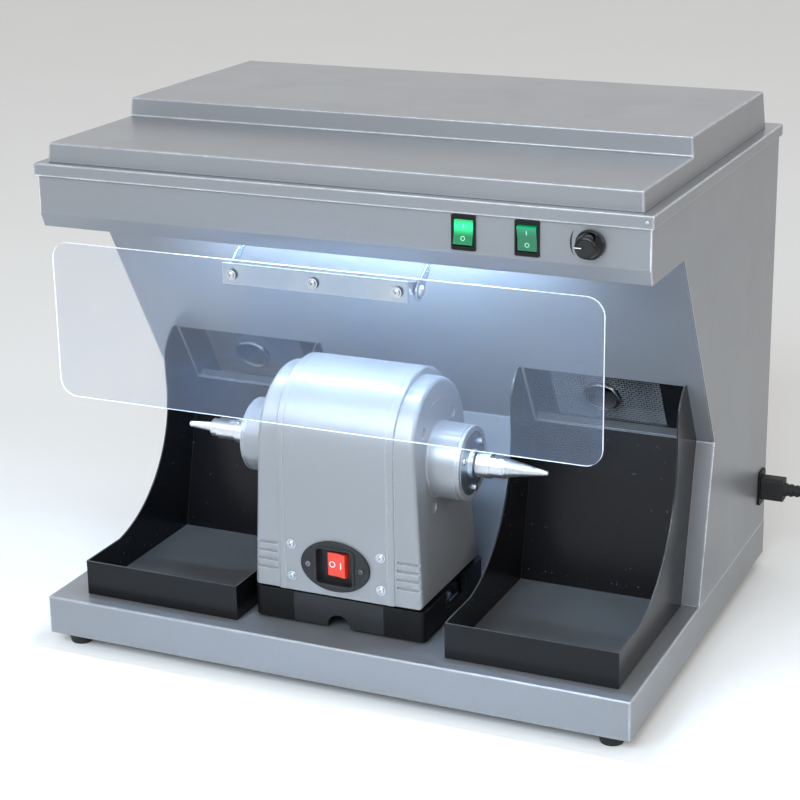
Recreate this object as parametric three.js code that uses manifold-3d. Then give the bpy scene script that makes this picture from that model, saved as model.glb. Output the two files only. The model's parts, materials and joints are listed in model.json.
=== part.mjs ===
import * as THREE from 'three';
import { mergeVertices, toCreasedNormals } from 'three/addons/utils/BufferGeometryUtils.js';
import Module from 'manifold-3d';

const wasm = await Module();
wasm.setup();

// A suction cabinet with a double-ended polishing motor standing in its open front.
// Lengths are in millimetres. X points to the viewer's right, Y to the back and Z up.
// The origin is on the floor, under the middle of the cabinet's base.

// Values that many pieces share
const gap = 0.3; // between two pieces that seat on each other
const overrun = 2; // how far a cutting solid runs past what it cuts
const sheet = 1.5; // folded steel of the cabinet and the bins

// Suction cabinet
const cabinet = {
  width: 650,
  depth: 500,
  baseHeight: 42,
  baseLip: 45, // flange turned in under the base, which carries the feet
  faceSetback: 230, // front edge to the foot of the work face
  creaseSetback: 270, // front edge to the fold in the work face
  creaseRise: 170,
  headerSetback: 34,
  headerRise: 397, // base top to the header's lower edge
  headerDepth: 106,
  headerHeight: 54,
  bandHeight: 15, // lower band of the header front
  bandTuck: 6,
  floorRise: 15, // header floor above the header's lower edge
  floorLap: 12,
  flange: 20,
};
const foot = { height: 14, topRadius: 14, soleRadius: 12, sideInset: 25, endInset: 22, chamfer: 2 };
const rim = { height: 13, overhang: 3, seat: 12 };
const lid = { sideInset: 9, frontInset: 6, rearInset: 27, riser: 20, stepSetback: 158, lean: 1.5 };
const grille = { width: 76, height: 64, border: 9, slots: 6, bar: 3.5, lap: 6 };

// Dust bins, in the bays either side of the motor's plinth, and the suction openings behind them
const bay = { slack: 48.5, leftMargin: 36.5, rightMargin: 19 };
const bin = {
  setback: 21,
  frontHeight: 38,
  headDepth: 7, // top edge of the side, in front of the work face
  sweepRadius: 140, // bend of the side's edge, from the tray's edge up to the throat
  sweepAngle: 80, // degrees
  throatHeight: 29.5, // nearly upright part above the bend
  throatLean: 2,
  hornRadius: 46,
  hornHeight: 38,
  clearance: 0.6,
};
const opening = { sideMargin: 4, foot: 3, height: 82 };
const hood = { depth: 32, wall: 1.2, lap: 1, screenDepth: 11, screenThickness: 1.2 };
const port = { radius: 17, offset: -10, rise: 40, collar: 3, collarHeight: 3 };
const mesh = { width: 116, columns: 6, rows: 4, bar: 3, border: 6 };

// Suction set inside the cabinet
const duct = { radius: 21, wall: 2, reach: 44 };
const filterBox = { width: 160, depth: 120, height: 150, mouthInset: 27, wall: 1.5 };
const cartridge = { radius: 46, valley: 37, bore: 24, length: 110, pleats: 18, endDisc: 4 };
const blower = {
  axisRise: 78,
  width: 50,
  wall: 2,
  scrollStart: 54,
  scrollGrowth: 14,
  outletHeight: 34,
  footDepth: 70,
};
const impeller = { radius: 46, bore: 26, width: 34, disc: 3, blades: 9, blade: 2, sweep: 35, shaft: 4, hub: 10 };
const fanMotor = { radius: 38, length: 62, step: 30, stepLength: 12, shaftDepth: 30 };

// Controls on the header
const switchGear = {
  sideInset: 181.7, // from the cabinet's right side to the first switch
  pitch: 63.2,
  rise: 35.5,
  bezelWidth: 24.5,
  bezelHeight: 34,
  bezelDepth: 2,
  cornerRadius: 1.5,
  wall: 1.2,
  endWall: 2.4,
  bodyDepth: 20,
  cavityDepth: 14,
};
const rocker = {
  width: 19.4,
  endRadius: 12.6,
  dish: 3.2, // middle of the face in front of the pivot
  cornerAngle: 21, // degrees
  rootAngle: -32, // degrees
  pivotDepth: 1.5, // pivot behind the face that carries the switch
  tilt: 8, // degrees to either side
  clearance: 0.4,
};
const knob = {
  sideInset: 57,
  skirtRadius: 14,
  skirtHeight: 4,
  waistRadius: 12.4,
  faceRadius: 10,
  height: 17,
  edge: 1.5,
  standoff: 1,
  shaftRadius: 3,
  shaftDepth: 11,
  pointerWidth: 2,
  pointerHeight: 1,
};
const control = { radius: 12, depth: 12, bushing: 4.7, boreDepth: 8 };

// Lamp under the header
const lamp = { radius: 8, length: 420, setback: 90, wall: 2, capLength: 18, trayWidth: 34 };

// Tilting shield
const shield = { sideInset: 32.5, height: 162, thickness: 3, setback: 2, lowerEdge: 230, cornerRadius: 18 };
const channel = { width: 197, height: 21, topInset: 4, pivotSetback: 27, pivotDrop: 23, endRadius: 9 };
const hanger = { depth: 13, setback: 42.5, shoulderDrop: 2 };
const pivot = { radius: 3, headRadius: 5.5, headHeight: 3, nutRadius: 5, nutHeight: 4 };
const faceScrew = { spacing: 88, radius: 2.4, drop: 11 };

// Polishing motor
const plinth = {
  width: 191,
  depth: 157.5,
  setback: 39.5,
  standoff: 3,
  height: 32,
  wall: 6,
  cornerRadius: 6,
  seatHeight: 3,
  seatWidth: 22,
  seatInset: 9,
  footRadius: 9,
  footInset: 14,
  insertWidth: 101,
  insertDepth: 3,
  archRadius: 13,
  windowSetback: 56,
  windowLength: 54,
  windowHeight: 18,
};
const clamp = { setback: 78.5, drop: 14, radius: 3.5, headRadius: 6.5, headHeight: 5, wingSpan: 22, wingThickness: 3 };
const motor = {
  coverHalf: 57,
  drumHalf: 65,
  baseHalf: 94.5,
  draftShare: 0.05, // how far the ends lean in for each unit of height
  setback: 36.5,
  depth: 151.5,
  coverRadius: 74,
  castingRadius: 67,
  crownRise: 155, // underside to the middle of the rounded crown
  coverSheet: 2,
  castingStep: 2,
  castingWall: 4,
  edgeRadius: 5,
  drumEdge: 2,
  axisSetback: 105,
  axisRise: 138,
};
const vent = { count: 4, pitch: 9.2, height: 3.2, rise: 20, depth: 1.4, inner: 66.5, outer: 91.5 };
const sideHole = { radius: 5.4, depth: 3, highSpacing: 72, high: 39, lowSpacing: 48, low: 43 };
const hub = {
  rootRadius: 39.5,
  radius: 38.6,
  root: 78,
  reach: 122,
  grooveSetback: 4.5,
  grooveWidth: 1.2,
  grooveDepth: 1,
  passage: 12,
  edge: 1,
};
const cap = { radius: 33, thickness: 3, noseRadius: 15, noseLength: 5, edge: 0.8 };
const bearing = { radius: 17.5, width: 12, setback: 22, raceWall: 3.2, shieldDepth: 0.8 };
const shaft = { radius: 8, reach: 150, rotorRadius: 32, rotorHalf: 34, clearance: 0.5, slots: 12, slotDepth: 2 };
const stator = { radius: 56, bore: 33, half: 62 };
const spigot = { wall: 3, half: 44 };
const spindle = { start: 128, collarRadius: 13, collarLength: 16, edge: 1, boreDepth: 24, tip: 202.5, flats: 20 };
const taperNut = { radius: 11.5, length: 14, rootRadius: 10, tipRadius: 2.5 };
const sleeveNut = { radius: 11.2, length: 30, rootRadius: 5.5, tipRadius: 3.2, waist: 9.6, waistLength: 8 };
const plate = { halfWidth: 38.5, halfHeight: 27, thickness: 3, rise: 33.5, bevel: 0.8 };
const cup = { width: 41, height: 38, cornerRadius: 4, depth: 9, wall: 1.5 };
const motorRocker = {
  width: 25.5,
  endRadius: 11.4,
  dish: 4,
  cornerAngle: 27, // degrees
  rootAngle: -30, // degrees
  pivotDepth: 1.5,
  tilt: 8, // degrees to either side
  clearance: 0.4,
};

// Mains inlet and its lead
const inlet = {
  rearInset: 26,
  rise: 49,
  width: 26,
  height: 40,
  flange: 2.4,
  cornerRadius: 5,
  bodyWidth: 20,
  bodyHeight: 28,
  bodyDepth: 26,
  socketDepth: 16,
  contactWidth: 2,
  contactHeight: 4,
  contactLength: 12,
  contactPitch: 7,
};
const connector = {
  noseWidth: 15.5,
  noseHeight: 23.5,
  noseLength: 14,
  cornerRadius: 4,
  bodyWidth: 19,
  bodyHeight: 26,
  bodyLength: 25,
  reliefLength: 34,
  reliefRoot: 8,
  reliefTip: 5.4,
  ribs: 5,
  ribDepth: 1,
};
const cord = { radius: 3.5, sides: 10, steps: 18 };
const coil = {
  centreX: 484,
  centreY: 150,
  outerRadius: 51,
  pitch: 7.5,
  layerRise: 7.7,
  turns: 5.5, // half of them run inwards on the floor, half outwards on top
  climbTurns: 0.5,
  clearance: 0.1,
  sides: 6,
  stepsPerTurn: 24,
};
const plug = {
  length: 34,
  width: 25,
  cornerRadius: 6,
  reliefLength: 26,
  reliefRadius: 6.5,
  bladeLength: 17,
  bladeWidth: 1.5,
  bladeHeight: 6.4,
  bladePitch: 12.7,
  pinRadius: 2.4,
  pinDrop: 6,
};

// The free stretch of the lead from the connector to the coil
const cordRoute = [
  [387.4, 224, 105], [397, 224, 104.7], [413, 224, 99], [429, 224, 85], [442, 224, 66],
  [454, 224, 46], [467, 223.5, 27], [482, 221, 13], [499, 214, 6], [515, 202, 3.8],
  [526, 188, 3.6], [532.5, 172, 3.6], [535, 163, 3.6], [535, 157.3, 3.6],
];

// Places worked out from the sizes above
const half = cabinet.width / 2;
const front = -cabinet.depth / 2;
const rear = cabinet.depth / 2;
const cabinetRear = rear - rim.overhang;
const baseTop = foot.height + cabinet.baseHeight;
const floorZ = baseTop + gap; // what stands on the base
const faceFootY = front + cabinet.faceSetback;
const creaseY = front + cabinet.creaseSetback;
const creaseZ = baseTop + cabinet.creaseRise;
const headerY = front + cabinet.headerSetback;
const headerRearY = headerY + cabinet.headerDepth;
const headerZ = baseTop + cabinet.headerRise;
const bandZ = headerZ + cabinet.bandHeight;
const headerFloorZ = headerZ + cabinet.floorRise;
const rimZ = headerZ + cabinet.headerHeight;
const rimTop = rimZ + rim.height;
const wallTop = rimTop - sheet - gap;
const innerHalf = half - sheet - gap;
const firstSwitchX = half - switchGear.sideInset;
const switchPlaces = [firstSwitchX, firstSwitchX + switchGear.pitch];
const switchZ = headerZ + switchGear.rise;
const knobX = half - knob.sideInset;
const shieldWidth = cabinet.width - shield.sideInset - shield.sideInset;
const binWidth = half - plinth.width / 2 - bay.slack;
const leftBayX = bay.leftMargin + binWidth / 2 - half;
const rightBayX = half - bay.rightMargin - binWidth / 2;
const openingHalf = binWidth / 2 - opening.sideMargin;

// The slanted part of the work face has a frame of its own: along X, up the slope, out of it
const slopeLength = Math.hypot(headerRearY - creaseY, headerZ - creaseZ);
const slopeUp = new THREE.Vector3(0, (headerRearY - creaseY) / slopeLength, (headerZ - creaseZ) / slopeLength);
const slopeOut = new THREE.Vector3(1, 0, 0).cross(slopeUp);
const slopePoint = (up, out) =>
  new THREE.Vector3(0, creaseY, creaseZ).addScaledVector(slopeUp, up).addScaledVector(slopeOut, out);

const [leftPortX, rightPortX] = [leftBayX + port.offset, rightBayX + port.offset];
const ductAxis = slopePoint(port.rise, -(hood.depth + duct.reach));
const filterX = (leftBayX + rightBayX) / 2;
const filterRight = filterX + filterBox.width / 2;
const filterTop = floorZ + filterBox.height;
const filterY = ductAxis.y - filterBox.mouthInset;
const fanY = filterY + filterBox.depth / 2;
const fanZ = baseTop + blower.axisRise;
const fanFront = filterRight + gap;
const fanRear = fanFront + blower.width;
const fanX = (fanFront + fanRear) / 2;
const scrollTop = blower.scrollStart + blower.scrollGrowth;
const grilleZ = fanZ + scrollTop - blower.outletHeight / 2;

const pivotY = front + channel.pivotSetback;
const pivotZ = headerZ - channel.pivotDrop;
const earX = channel.width / 2;
const armX = earX + sheet;

const plinthY = front + plinth.setback;
const plinthZ = floorZ + plinth.standoff;
const plinthTop = plinthZ + plinth.height;
const motorZ = plinthTop + plinth.seatHeight + gap;
const coverY = front + motor.setback;
const crownZ = motorZ + motor.crownRise;
const axisY = front + motor.axisSetback;
const axisZ = motorZ + motor.axisRise;
const hubFace = hub.reach - cap.thickness - gap;

// Materials
const finish = (color, roughness, metalness, extra = {}) =>
  new THREE.MeshStandardMaterial({ color, roughness, metalness, ...extra });
const silverPaint = finish(0xa5a6a8, 0.42, 0.55);
const blackSheet = finish(0x17181b, 0.28, 0.2);
const motorPaint = finish(0xbfc3c8, 0.34, 0.6);
const blackPlastic = finish(0x16161a, 0.5, 0);
const rubber = finish(0x1b1b1c, 0.85, 0);
const zincSteel = finish(0xa9b0b4, 0.3, 0.9);
const brightSteel = finish(0xc8ccd0, 0.2, 1);
const coreSteel = finish(0x6d6f73, 0.5, 0.8);
const clearPlastic = finish(0xdfe6ee, 0.08, 0, { transparent: true, opacity: 0.3 });
const greenLens = finish(0x0fa36b, 0.25, 0);
const redPlastic = finish(0xd8301c, 0.35, 0);
const glossBlack = finish(0x0b0b0c, 0.12, 0);
const wireMesh = finish(0x8d949a, 0.45, 0.8);
const whiteGlass = finish(0xf4f8ff, 0.3, 0);
const filterPaper = finish(0xd9d2bf, 0.9, 0);

// Outlines are drawn square to an axis: in Y, Z along X, in X, Z along Y and in X, Y along Z.
// Along the slope's outward axis they are in X and up the slope.
const [unitX, unitY, unitZ] = [[1, 0, 0], [0, 1, 0], [0, 0, 1]].map((unit) => new THREE.Vector3(...unit));
const axisFrames = {
  x: new THREE.Matrix4().makeBasis(unitY, unitZ, unitX),
  y: new THREE.Matrix4().makeBasis(unitX, unitZ, unitY),
  z: new THREE.Matrix4(),
  slope: new THREE.Matrix4().makeBasis(unitX, slopeUp, slopeOut).setPosition(0, creaseY, creaseZ),
};
const smallArc = 2; // curve steps for corners, middle rounds and large rounds
const middleArc = 4;
const largeArc = 12;
const smallFacets = 12; // facets of small, hidden, plain and large round pieces
const hiddenFacets = 16;
const roundFacets = 24;
const largeFacets = 32;

// Turns a closed geometry into a solid whose faces point outwards
function solid(geometry) {
  const bare = geometry.clone();
  bare.deleteAttribute('normal');
  bare.deleteAttribute('uv');
  const merged = mergeVertices(bare);
  const vertProperties = Float32Array.from(merged.attributes.position.array);
  const index = merged.index.array;
  const corner = (k) => new THREE.Vector3().fromArray(vertProperties, index[k] * 3);
  const kept = [];
  let volume = 0;
  for (let k = 0; k < index.length; k += 3) {
    const [a, b, c] = [index[k], index[k + 1], index[k + 2]];
    if (a === b || b === c || c === a) continue;
    kept.push(a, b, c);
    volume += corner(k).dot(corner(k + 1).cross(corner(k + 2)));
  }
  if (volume < 0) kept.reverse();
  return new wasm.Manifold(new wasm.Mesh({ numProp: 3, vertProperties, triVerts: Uint32Array.from(kept) }));
}

function geometryOf(body) {
  const { vertProperties, triVerts } = body.getMesh();
  const geometry = new THREE.BufferGeometry();
  geometry.setAttribute('position', new THREE.BufferAttribute(vertProperties, 3));
  geometry.setIndex(new THREE.BufferAttribute(triVerts, 1));
  return geometry;
}

const moved = (body, matrix) => solid(geometryOf(body).applyMatrix4(matrix));
const mirrored = (body) => moved(body, new THREE.Matrix4().makeScale(-1, 1, 1));
const degrees = THREE.MathUtils.degToRad;

// Names a solid and puts it in a group, at a place and turned about an axis
function add(group, name, body, material, position = [0, 0, 0], rotation = [0, 0, 0]) {
  const piece = new THREE.Mesh(toCreasedNormals(geometryOf(body)), material);
  piece.name = name;
  piece.position.set(...position);
  piece.rotation.set(...rotation);
  group.add(piece);
}

function subgroup(position = [0, 0, 0]) {
  const group = new THREE.Group();
  group.position.set(...position);
  part.add(group);
  return group;
}

function boxGeometry([x0, y0, z0], [x1, y1, z1]) {
  const box = new THREE.BoxGeometry(x1 - x0, y1 - y0, z1 - z0);
  return box.translate((x0 + x1) / 2, (y0 + y1) / 2, (z0 + z1) / 2);
}
const block = (low, high) => solid(boxGeometry(low, high));
const slopeBlock = (low, high) => solid(boxGeometry(low, high).applyMatrix4(axisFrames.slope));

const outline = (points) => new THREE.Shape(points.map(([a, b]) => new THREE.Vector2(a, b)));

// Carries an outline, or a list of its corners, along an axis
function prism(axis, shape, from, to, { centre = [0, 0], arc = smallArc } = {}) {
  const drawn = Array.isArray(shape) ? outline(shape) : shape;
  const geometry = new THREE.ExtrudeGeometry(drawn, { depth: to - from, bevelEnabled: false, curveSegments: arc });
  return solid(geometry.translate(...centre, from).applyMatrix4(axisFrames[axis]));
}

// A round solid about an axis, from a profile of [place along the axis, radius]
function turned(axis, profile, centre = [0, 0], facets = roundFacets) {
  const points = profile.map(([along, radius]) => new THREE.Vector2(radius, along));
  const geometry = new THREE.LatheGeometry(points, facets).rotateX(Math.PI / 2);
  return solid(geometry.translate(...centre, 0).applyMatrix4(axisFrames[axis]));
}

const rod = (axis, radius, from, to, centre, facets) =>
  turned(axis, [[from, 0], [from, radius], [to, radius], [to, 0]], centre, facets);
const ring = (axis, outer, inner, from, to, centre, facets) =>
  turned(axis, [[from, inner], [from, outer], [to, outer], [to, inner], [from, inner]], centre, facets);

function rectangle(width, height, radius = 0) {
  const [w, h] = [width / 2, height / 2];
  if (radius === 0) return outline([[-w, -h], [w, -h], [w, h], [-w, h]]);
  const shape = new THREE.Shape();
  shape.absarc(w - radius, h - radius, radius, 0, Math.PI / 2);
  shape.absarc(radius - w, h - radius, radius, Math.PI / 2, Math.PI);
  shape.absarc(radius - w, radius - h, radius, Math.PI, -Math.PI / 2);
  shape.absarc(w - radius, radius - h, radius, -Math.PI / 2, 0);
  return shape;
}

// The section of a folded sheet from its outer face; the sheet lies to the left of the walk
function folded(points, thickness = sheet) {
  const face = points.map(([a, b]) => new THREE.Vector2(a, b));
  const normals = face.slice(1).map((end, k) => {
    const run = end.clone().sub(face[k]).normalize();
    return new THREE.Vector2(-run.y, run.x);
  });
  const inner = face.map((point, k) => {
    const before = normals[Math.max(k - 1, 0)];
    const after = normals[Math.min(k, normals.length - 1)];
    const mitre = before.clone().add(after).normalize();
    return point.clone().addScaledVector(mitre, thickness / mitre.dot(after));
  });
  return [...face, ...inner.reverse()].map((point) => [point.x, point.y]);
}

// The angle on a circle at which a line from an outer point touches it
function touchAngle(centre, radius, point, side) {
  const [a, b] = [point[0] - centre[0], point[1] - centre[1]];
  return Math.atan2(b, a) + side * Math.acos(radius / Math.hypot(a, b));
}

// A block whose front, rear and sides lean in towards its top
function leaningBlock([x0, y0, z0], [x1, y1, z1], lean) {
  const box = new THREE.BoxGeometry(x1 - x0, y1 - y0, z1 - z0);
  const corners = box.attributes.position;
  for (let k = 0; k < corners.count; k++) {
    if (corners.getZ(k) < 0) continue;
    corners.setX(k, corners.getX(k) - Math.sign(corners.getX(k)) * lean);
    corners.setY(k, corners.getY(k) - Math.sign(corners.getY(k)) * lean);
  }
  return solid(box.translate((x0 + x1) / 2, (y0 + y1) / 2, (z0 + z1) / 2));
}

// A skin through rings of points, closed with a flat at each end
function loft(given, capPlane = (point) => new THREE.Vector2(point.y, point.z)) {
  const clockwise = THREE.ShapeUtils.isClockWise(given[0].map(capPlane));
  const rings = clockwise ? given.map((points) => [...points].reverse()) : given;
  const count = rings[0].length;
  const last = (rings.length - 1) * count;
  const index = [];
  for (const [a, b, c] of THREE.ShapeUtils.triangulateShape(rings[0].map(capPlane), [])) {
    index.push(a, c, b, last + a, last + b, last + c);
  }
  for (let r = 0; r < last; r += count) {
    for (let k = 0; k < count; k++) {
      const next = (k + 1) % count;
      index.push(r + k, r + next, r + next + count, r + k, r + next + count, r + k + count);
    }
  }
  const positions = rings.flat().flatMap((point) => point.toArray());
  const geometry = new THREE.BufferGeometry();
  geometry.setAttribute('position', new THREE.Float32BufferAttribute(positions, 3));
  geometry.setIndex(index);
  return solid(geometry);
}

// Cabinet shell

function basePan() {
  const mouth = cabinet.baseLip;
  return block([-half, front, foot.height], [half, rear, baseTop])
    .subtract(block(
      [sheet - half, front + sheet, foot.height + sheet], [half - sheet, rear - sheet, baseTop - sheet]))
    .subtract(block(
      [mouth - half, front + mouth, foot.height - overrun], [half - mouth, rear - mouth, foot.height + overrun]));
}

function rubberFoot() {
  const top = foot.height - gap;
  return turned('z', [
    [0, 0], [0, foot.soleRadius - foot.chamfer], [foot.chamfer, foot.soleRadius], [top, foot.topRadius], [top, 0],
  ]);
}

function sidePanel() {
  const faceY = headerY + sheet + gap;
  const plane = [
    [faceY, wallTop],
    [faceY, bandZ],
    [faceY + cabinet.bandTuck, headerZ],
    [headerRearY, headerZ],
    [creaseY, creaseZ],
    [faceFootY, floorZ],
    [cabinetRear, floorZ],
    [cabinetRear, wallTop],
  ];
  const flange = folded([
    [creaseY, creaseZ - gap], [faceFootY, floorZ], [cabinetRear - sheet - gap, floorZ],
  ]);
  return prism('x', plane, half - sheet, half)
    .add(prism('x', flange, half - cabinet.flange, half));
}

function backPanel() {
  const [w, h] = [grille.width / 2 - grille.lap, grille.height / 2 - grille.lap];
  return block([-innerHalf, cabinetRear - sheet, floorZ], [innerHalf, cabinetRear, wallTop])
    .subtract(block(
      [fanX - w, cabinetRear - sheet - overrun, grilleZ - h], [fanX + w, cabinetRear + overrun, grilleZ + h]));
}

function workFace() {
  const section = folded([
    [headerRearY, headerFloorZ - gap],
    [headerRearY, headerZ],
    [creaseY, creaseZ],
    [faceFootY, floorZ],
    [faceFootY + cabinet.flange, floorZ],
  ]);
  const notchX = half - cabinet.flange - gap;
  let panel = prism('x', section, -innerHalf, innerHalf)
    .subtract(block([notchX, front, 0], [half, rear, creaseZ]))
    .subtract(block([-half, front, 0], [-notchX, rear, creaseZ]));
  for (const x of [leftBayX, rightBayX]) {
    panel = panel.subtract(slopeBlock(
      [x - openingHalf, opening.foot, -sheet - overrun], [x + openingHalf, opening.height, overrun]));
  }
  return panel;
}

function headerFront() {
  const section = folded([[headerY, wallTop], [headerY, bandZ], [headerY + cabinet.bandTuck, headerZ]]);
  const [cutFront, cutRear] = [headerY - overrun, headerY + sheet + overrun];
  const cutout = rectangle(switchBody.width + gap + gap, switchBody.height + gap + gap, switchGear.cornerRadius);
  let panel = prism('x', section, -half, half);
  for (const x of switchPlaces) {
    panel = panel.subtract(prism('y', cutout, cutFront, cutRear, { centre: [x, switchZ] }));
  }
  return panel.subtract(rod('y', control.bushing + gap, cutFront, cutRear, [knobX, switchZ], smallFacets));
}

function topRim() {
  const out = rim.overhang;
  const inner = out - sheet;
  const [lidX, lidFront, lidRear] = [lidHalf - rim.seat, lidY + rim.seat, lidRearY - rim.seat];
  return block([-half - out, headerY - out, rimZ], [half + out, rear, rimTop])
    .subtract(block([-half - inner, headerY - inner, rimZ - overrun], [half + inner, rear - sheet, rimTop - sheet]))
    .subtract(block([-lidX, lidFront, rimZ], [lidX, lidRear, rimTop + overrun]));
}

const lidHalf = half - lid.sideInset;
const lidY = headerY + lid.frontInset;
const lidRearY = rear - lid.rearInset - rim.overhang;

function steppedLid() {
  const [low, middle, high] = [rimTop + gap, rimTop + lid.riser, rimTop + lid.riser + lid.riser];
  const stepY = lidY + lid.stepSetback;
  const shape = (inset) => {
    const skirt = leaningBlock(
      [inset - lidHalf, lidY + inset, inset ? low - overrun : low],
      [lidHalf - inset, lidRearY - inset, middle - inset], lid.lean);
    const side = lidHalf - lid.lean - inset;
    const step = leaningBlock(
      [-side, stepY + inset, middle - sheet - sheet],
      [side, lidRearY - lid.lean - inset, high - inset], lid.lean);
    return skirt.add(step);
  };
  return shape(0).subtract(shape(sheet));
}

function exhaustGrille() {
  const { width, height, border, bar, slots } = grille;
  const [from, to] = [cabinetRear + gap, cabinetRear + gap + sheet];
  const pitch = (height - border - border + bar) / slots;
  let panel = prism('y', rectangle(width, height, border / 2), from, to, { centre: [fanX, grilleZ] });
  for (let k = 0; k < slots; k++) {
    const low = grilleZ - height / 2 + border + k * pitch;
    panel = panel.subtract(block(
      [fanX - width / 2 + border, from - overrun, low], [fanX + width / 2 - border, to + overrun, low + pitch - bar]));
  }
  return panel;
}

// Dust bins: a folded tray between two tall side plates with a swept edge

function dustBin() {
  const w = binWidth / 2;
  const y0 = front + bin.setback;
  const lipZ = floorZ + bin.frontHeight;
  const knee = degrees(bin.sweepAngle);
  const sweepZ = lipZ + bin.sweepRadius * Math.sin(knee);
  const hornZ = sweepZ + bin.throatHeight;
  const topZ = hornZ + bin.hornHeight;
  const slope = (z) => creaseY - bin.clearance + ((z - creaseZ) * slopeUp.y) / slopeUp.z;
  const lower = (z) => creaseY - bin.clearance + ((z - creaseZ) * (creaseY - faceFootY)) / (creaseZ - floorZ);
  const hornAngle = Math.asin(bin.hornHeight / bin.hornRadius);
  const hornY = slope(topZ) - bin.headDepth + bin.hornRadius * Math.cos(hornAngle);
  const throatY = hornY - bin.hornRadius + bin.throatLean;
  const sweepY = throatY - bin.sweepRadius;

  const side = new THREE.Shape();
  side.moveTo(y0, floorZ);
  side.lineTo(y0, lipZ);
  side.lineTo(sweepY + bin.sweepRadius * Math.cos(knee), lipZ);
  side.absarc(sweepY, sweepZ, bin.sweepRadius, -knee, 0);
  side.lineTo(throatY - bin.throatLean, hornZ);
  side.absarc(hornY, hornZ, bin.hornRadius, Math.PI, Math.PI - hornAngle, true);
  side.lineTo(slope(topZ), topZ);
  side.lineTo(creaseY - bin.clearance, creaseZ);
  side.lineTo(lower(floorZ), floorZ);

  const tray = folded([[y0, lipZ], [y0, floorZ], [lower(floorZ), floorZ], [creaseY - bin.clearance, creaseZ]]);
  return prism('x', tray, -w, w)
    .add(prism('x', side, -w, sheet - w, { arc: largeArc }))
    .add(prism('x', side, w - sheet, w, { arc: largeArc }));
}

// Suction hood behind each opening, with its screen and port

const hoodHalf = openingHalf + hood.lap;
const hoodLow = opening.foot - hood.lap;
const hoodHigh = opening.height + hood.lap;

function suctionHood() {
  const { wall, depth } = hood;
  const rearFace = -depth;
  return slopeBlock([-hoodHalf - wall, hoodLow - wall, rearFace], [hoodHalf + wall, hoodHigh + wall, -sheet - gap])
    .subtract(slopeBlock([-hoodHalf, hoodLow, rearFace + wall], [hoodHalf, hoodHigh, overrun]))
    .subtract(rod('slope', port.radius, rearFace - overrun, rearFace + wall + overrun, [port.offset, port.rise]));
}

function meshScreen() {
  const [w, low, high] = [hoodHalf - gap, hoodLow + gap, hoodHigh - gap];
  const face = -hood.screenDepth;
  const back = face - hood.screenThickness;
  const { border, bar, columns, rows } = mesh;
  const pitchX = (mesh.width + bar) / columns;
  const pitchUp = (high - low - border - border + bar) / rows;
  const tubeRadius = port.radius + port.collar;
  let screen = slopeBlock([-w, low, back], [w, high, face]);
  for (let column = 0; column < columns; column++) {
    for (let row = 0; row < rows; row++) {
      const [x, up] = [port.offset - mesh.width / 2 + column * pitchX, low + border + row * pitchUp];
      const [x1, up1] = [x + pitchX - bar, up + pitchUp - bar];
      const middle = Math.hypot((x + x1) / 2 - port.offset, (up + up1) / 2 - port.rise);
      if (middle > port.radius - bar) {
        screen = screen.subtract(slopeBlock([x, up, back - overrun], [x1, up1, face + overrun]));
      }
    }
  }
  const tubeRear = hood.wall + gap - hood.depth;
  const rimFace = face + port.collarHeight;
  const centre = [port.offset, port.rise];
  return screen
    .add(rod('slope', tubeRadius, tubeRear, rimFace, centre, hiddenFacets))
    .subtract(rod('slope', port.radius, tubeRear - overrun, rimFace + overrun, centre, hiddenFacets));
}

// Suction set: duct, filter box with its cartridge, and a scroll blower

function ductPipe() {
  const pipe = (radius, inset) => {
    const centre = [ductAxis.y, ductAxis.z];
    const end = duct.radius - inset;
    let run = rod('x', radius, leftPortX - end, rightPortX + end, centre, hiddenFacets);
    const stubFrom = inset ? overrun - hood.depth : -hood.depth - gap;
    for (const x of [leftPortX, rightPortX]) {
      run = run.add(rod('slope', radius, -hood.depth - duct.reach, stubFrom, [x, port.rise], hiddenFacets));
    }
    const dropEnd = inset ? filterTop - overrun : filterTop + gap;
    return run.add(rod('z', radius, dropEnd, ductAxis.z, [filterX, ductAxis.y], hiddenFacets));
  };
  return pipe(duct.radius, 0).subtract(pipe(duct.radius - duct.wall, duct.wall));
}

function filterCase() {
  const { wall, width, depth } = filterBox;
  const [x0, y0] = [filterX - width / 2, filterY];
  const [x1, y1] = [x0 + width, y0 + depth];
  return block([x0, y0, floorZ], [x1, y1, filterTop])
    .subtract(block([x0 + wall, y0 + wall, floorZ + wall], [x1 - wall, y1 - wall, filterTop - wall]))
    .subtract(rod('z', duct.radius - duct.wall, filterTop - overrun - wall, filterTop + overrun, [filterX, ductAxis.y]))
    .subtract(rod('x', cartridge.bore, x1 - wall - overrun, x1 + overrun, [fanY, fanZ]));
}

function filterCartridge() {
  const star = new THREE.Shape();
  const count = cartridge.pleats + cartridge.pleats;
  for (let k = 0; k < count; k++) {
    const radius = k % 2 ? cartridge.radius : cartridge.valley;
    const angle = (k * Math.PI) / cartridge.pleats;
    const point = [radius * Math.cos(angle), radius * Math.sin(angle)];
    if (k === 0) star.moveTo(...point);
    else star.lineTo(...point);
  }
  const to = filterRight - filterBox.wall - gap;
  const from = to - cartridge.length;
  const centre = [fanY, fanZ];
  return prism('x', star, from + cartridge.endDisc / 2, to, { centre })
    .add(rod('x', cartridge.radius, from, from + cartridge.endDisc, centre))
    .add(ring('x', cartridge.radius, cartridge.bore, to - cartridge.endDisc, to, centre))
    .subtract(rod('x', cartridge.bore, from + cartridge.endDisc, to + overrun, centre));
}

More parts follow.
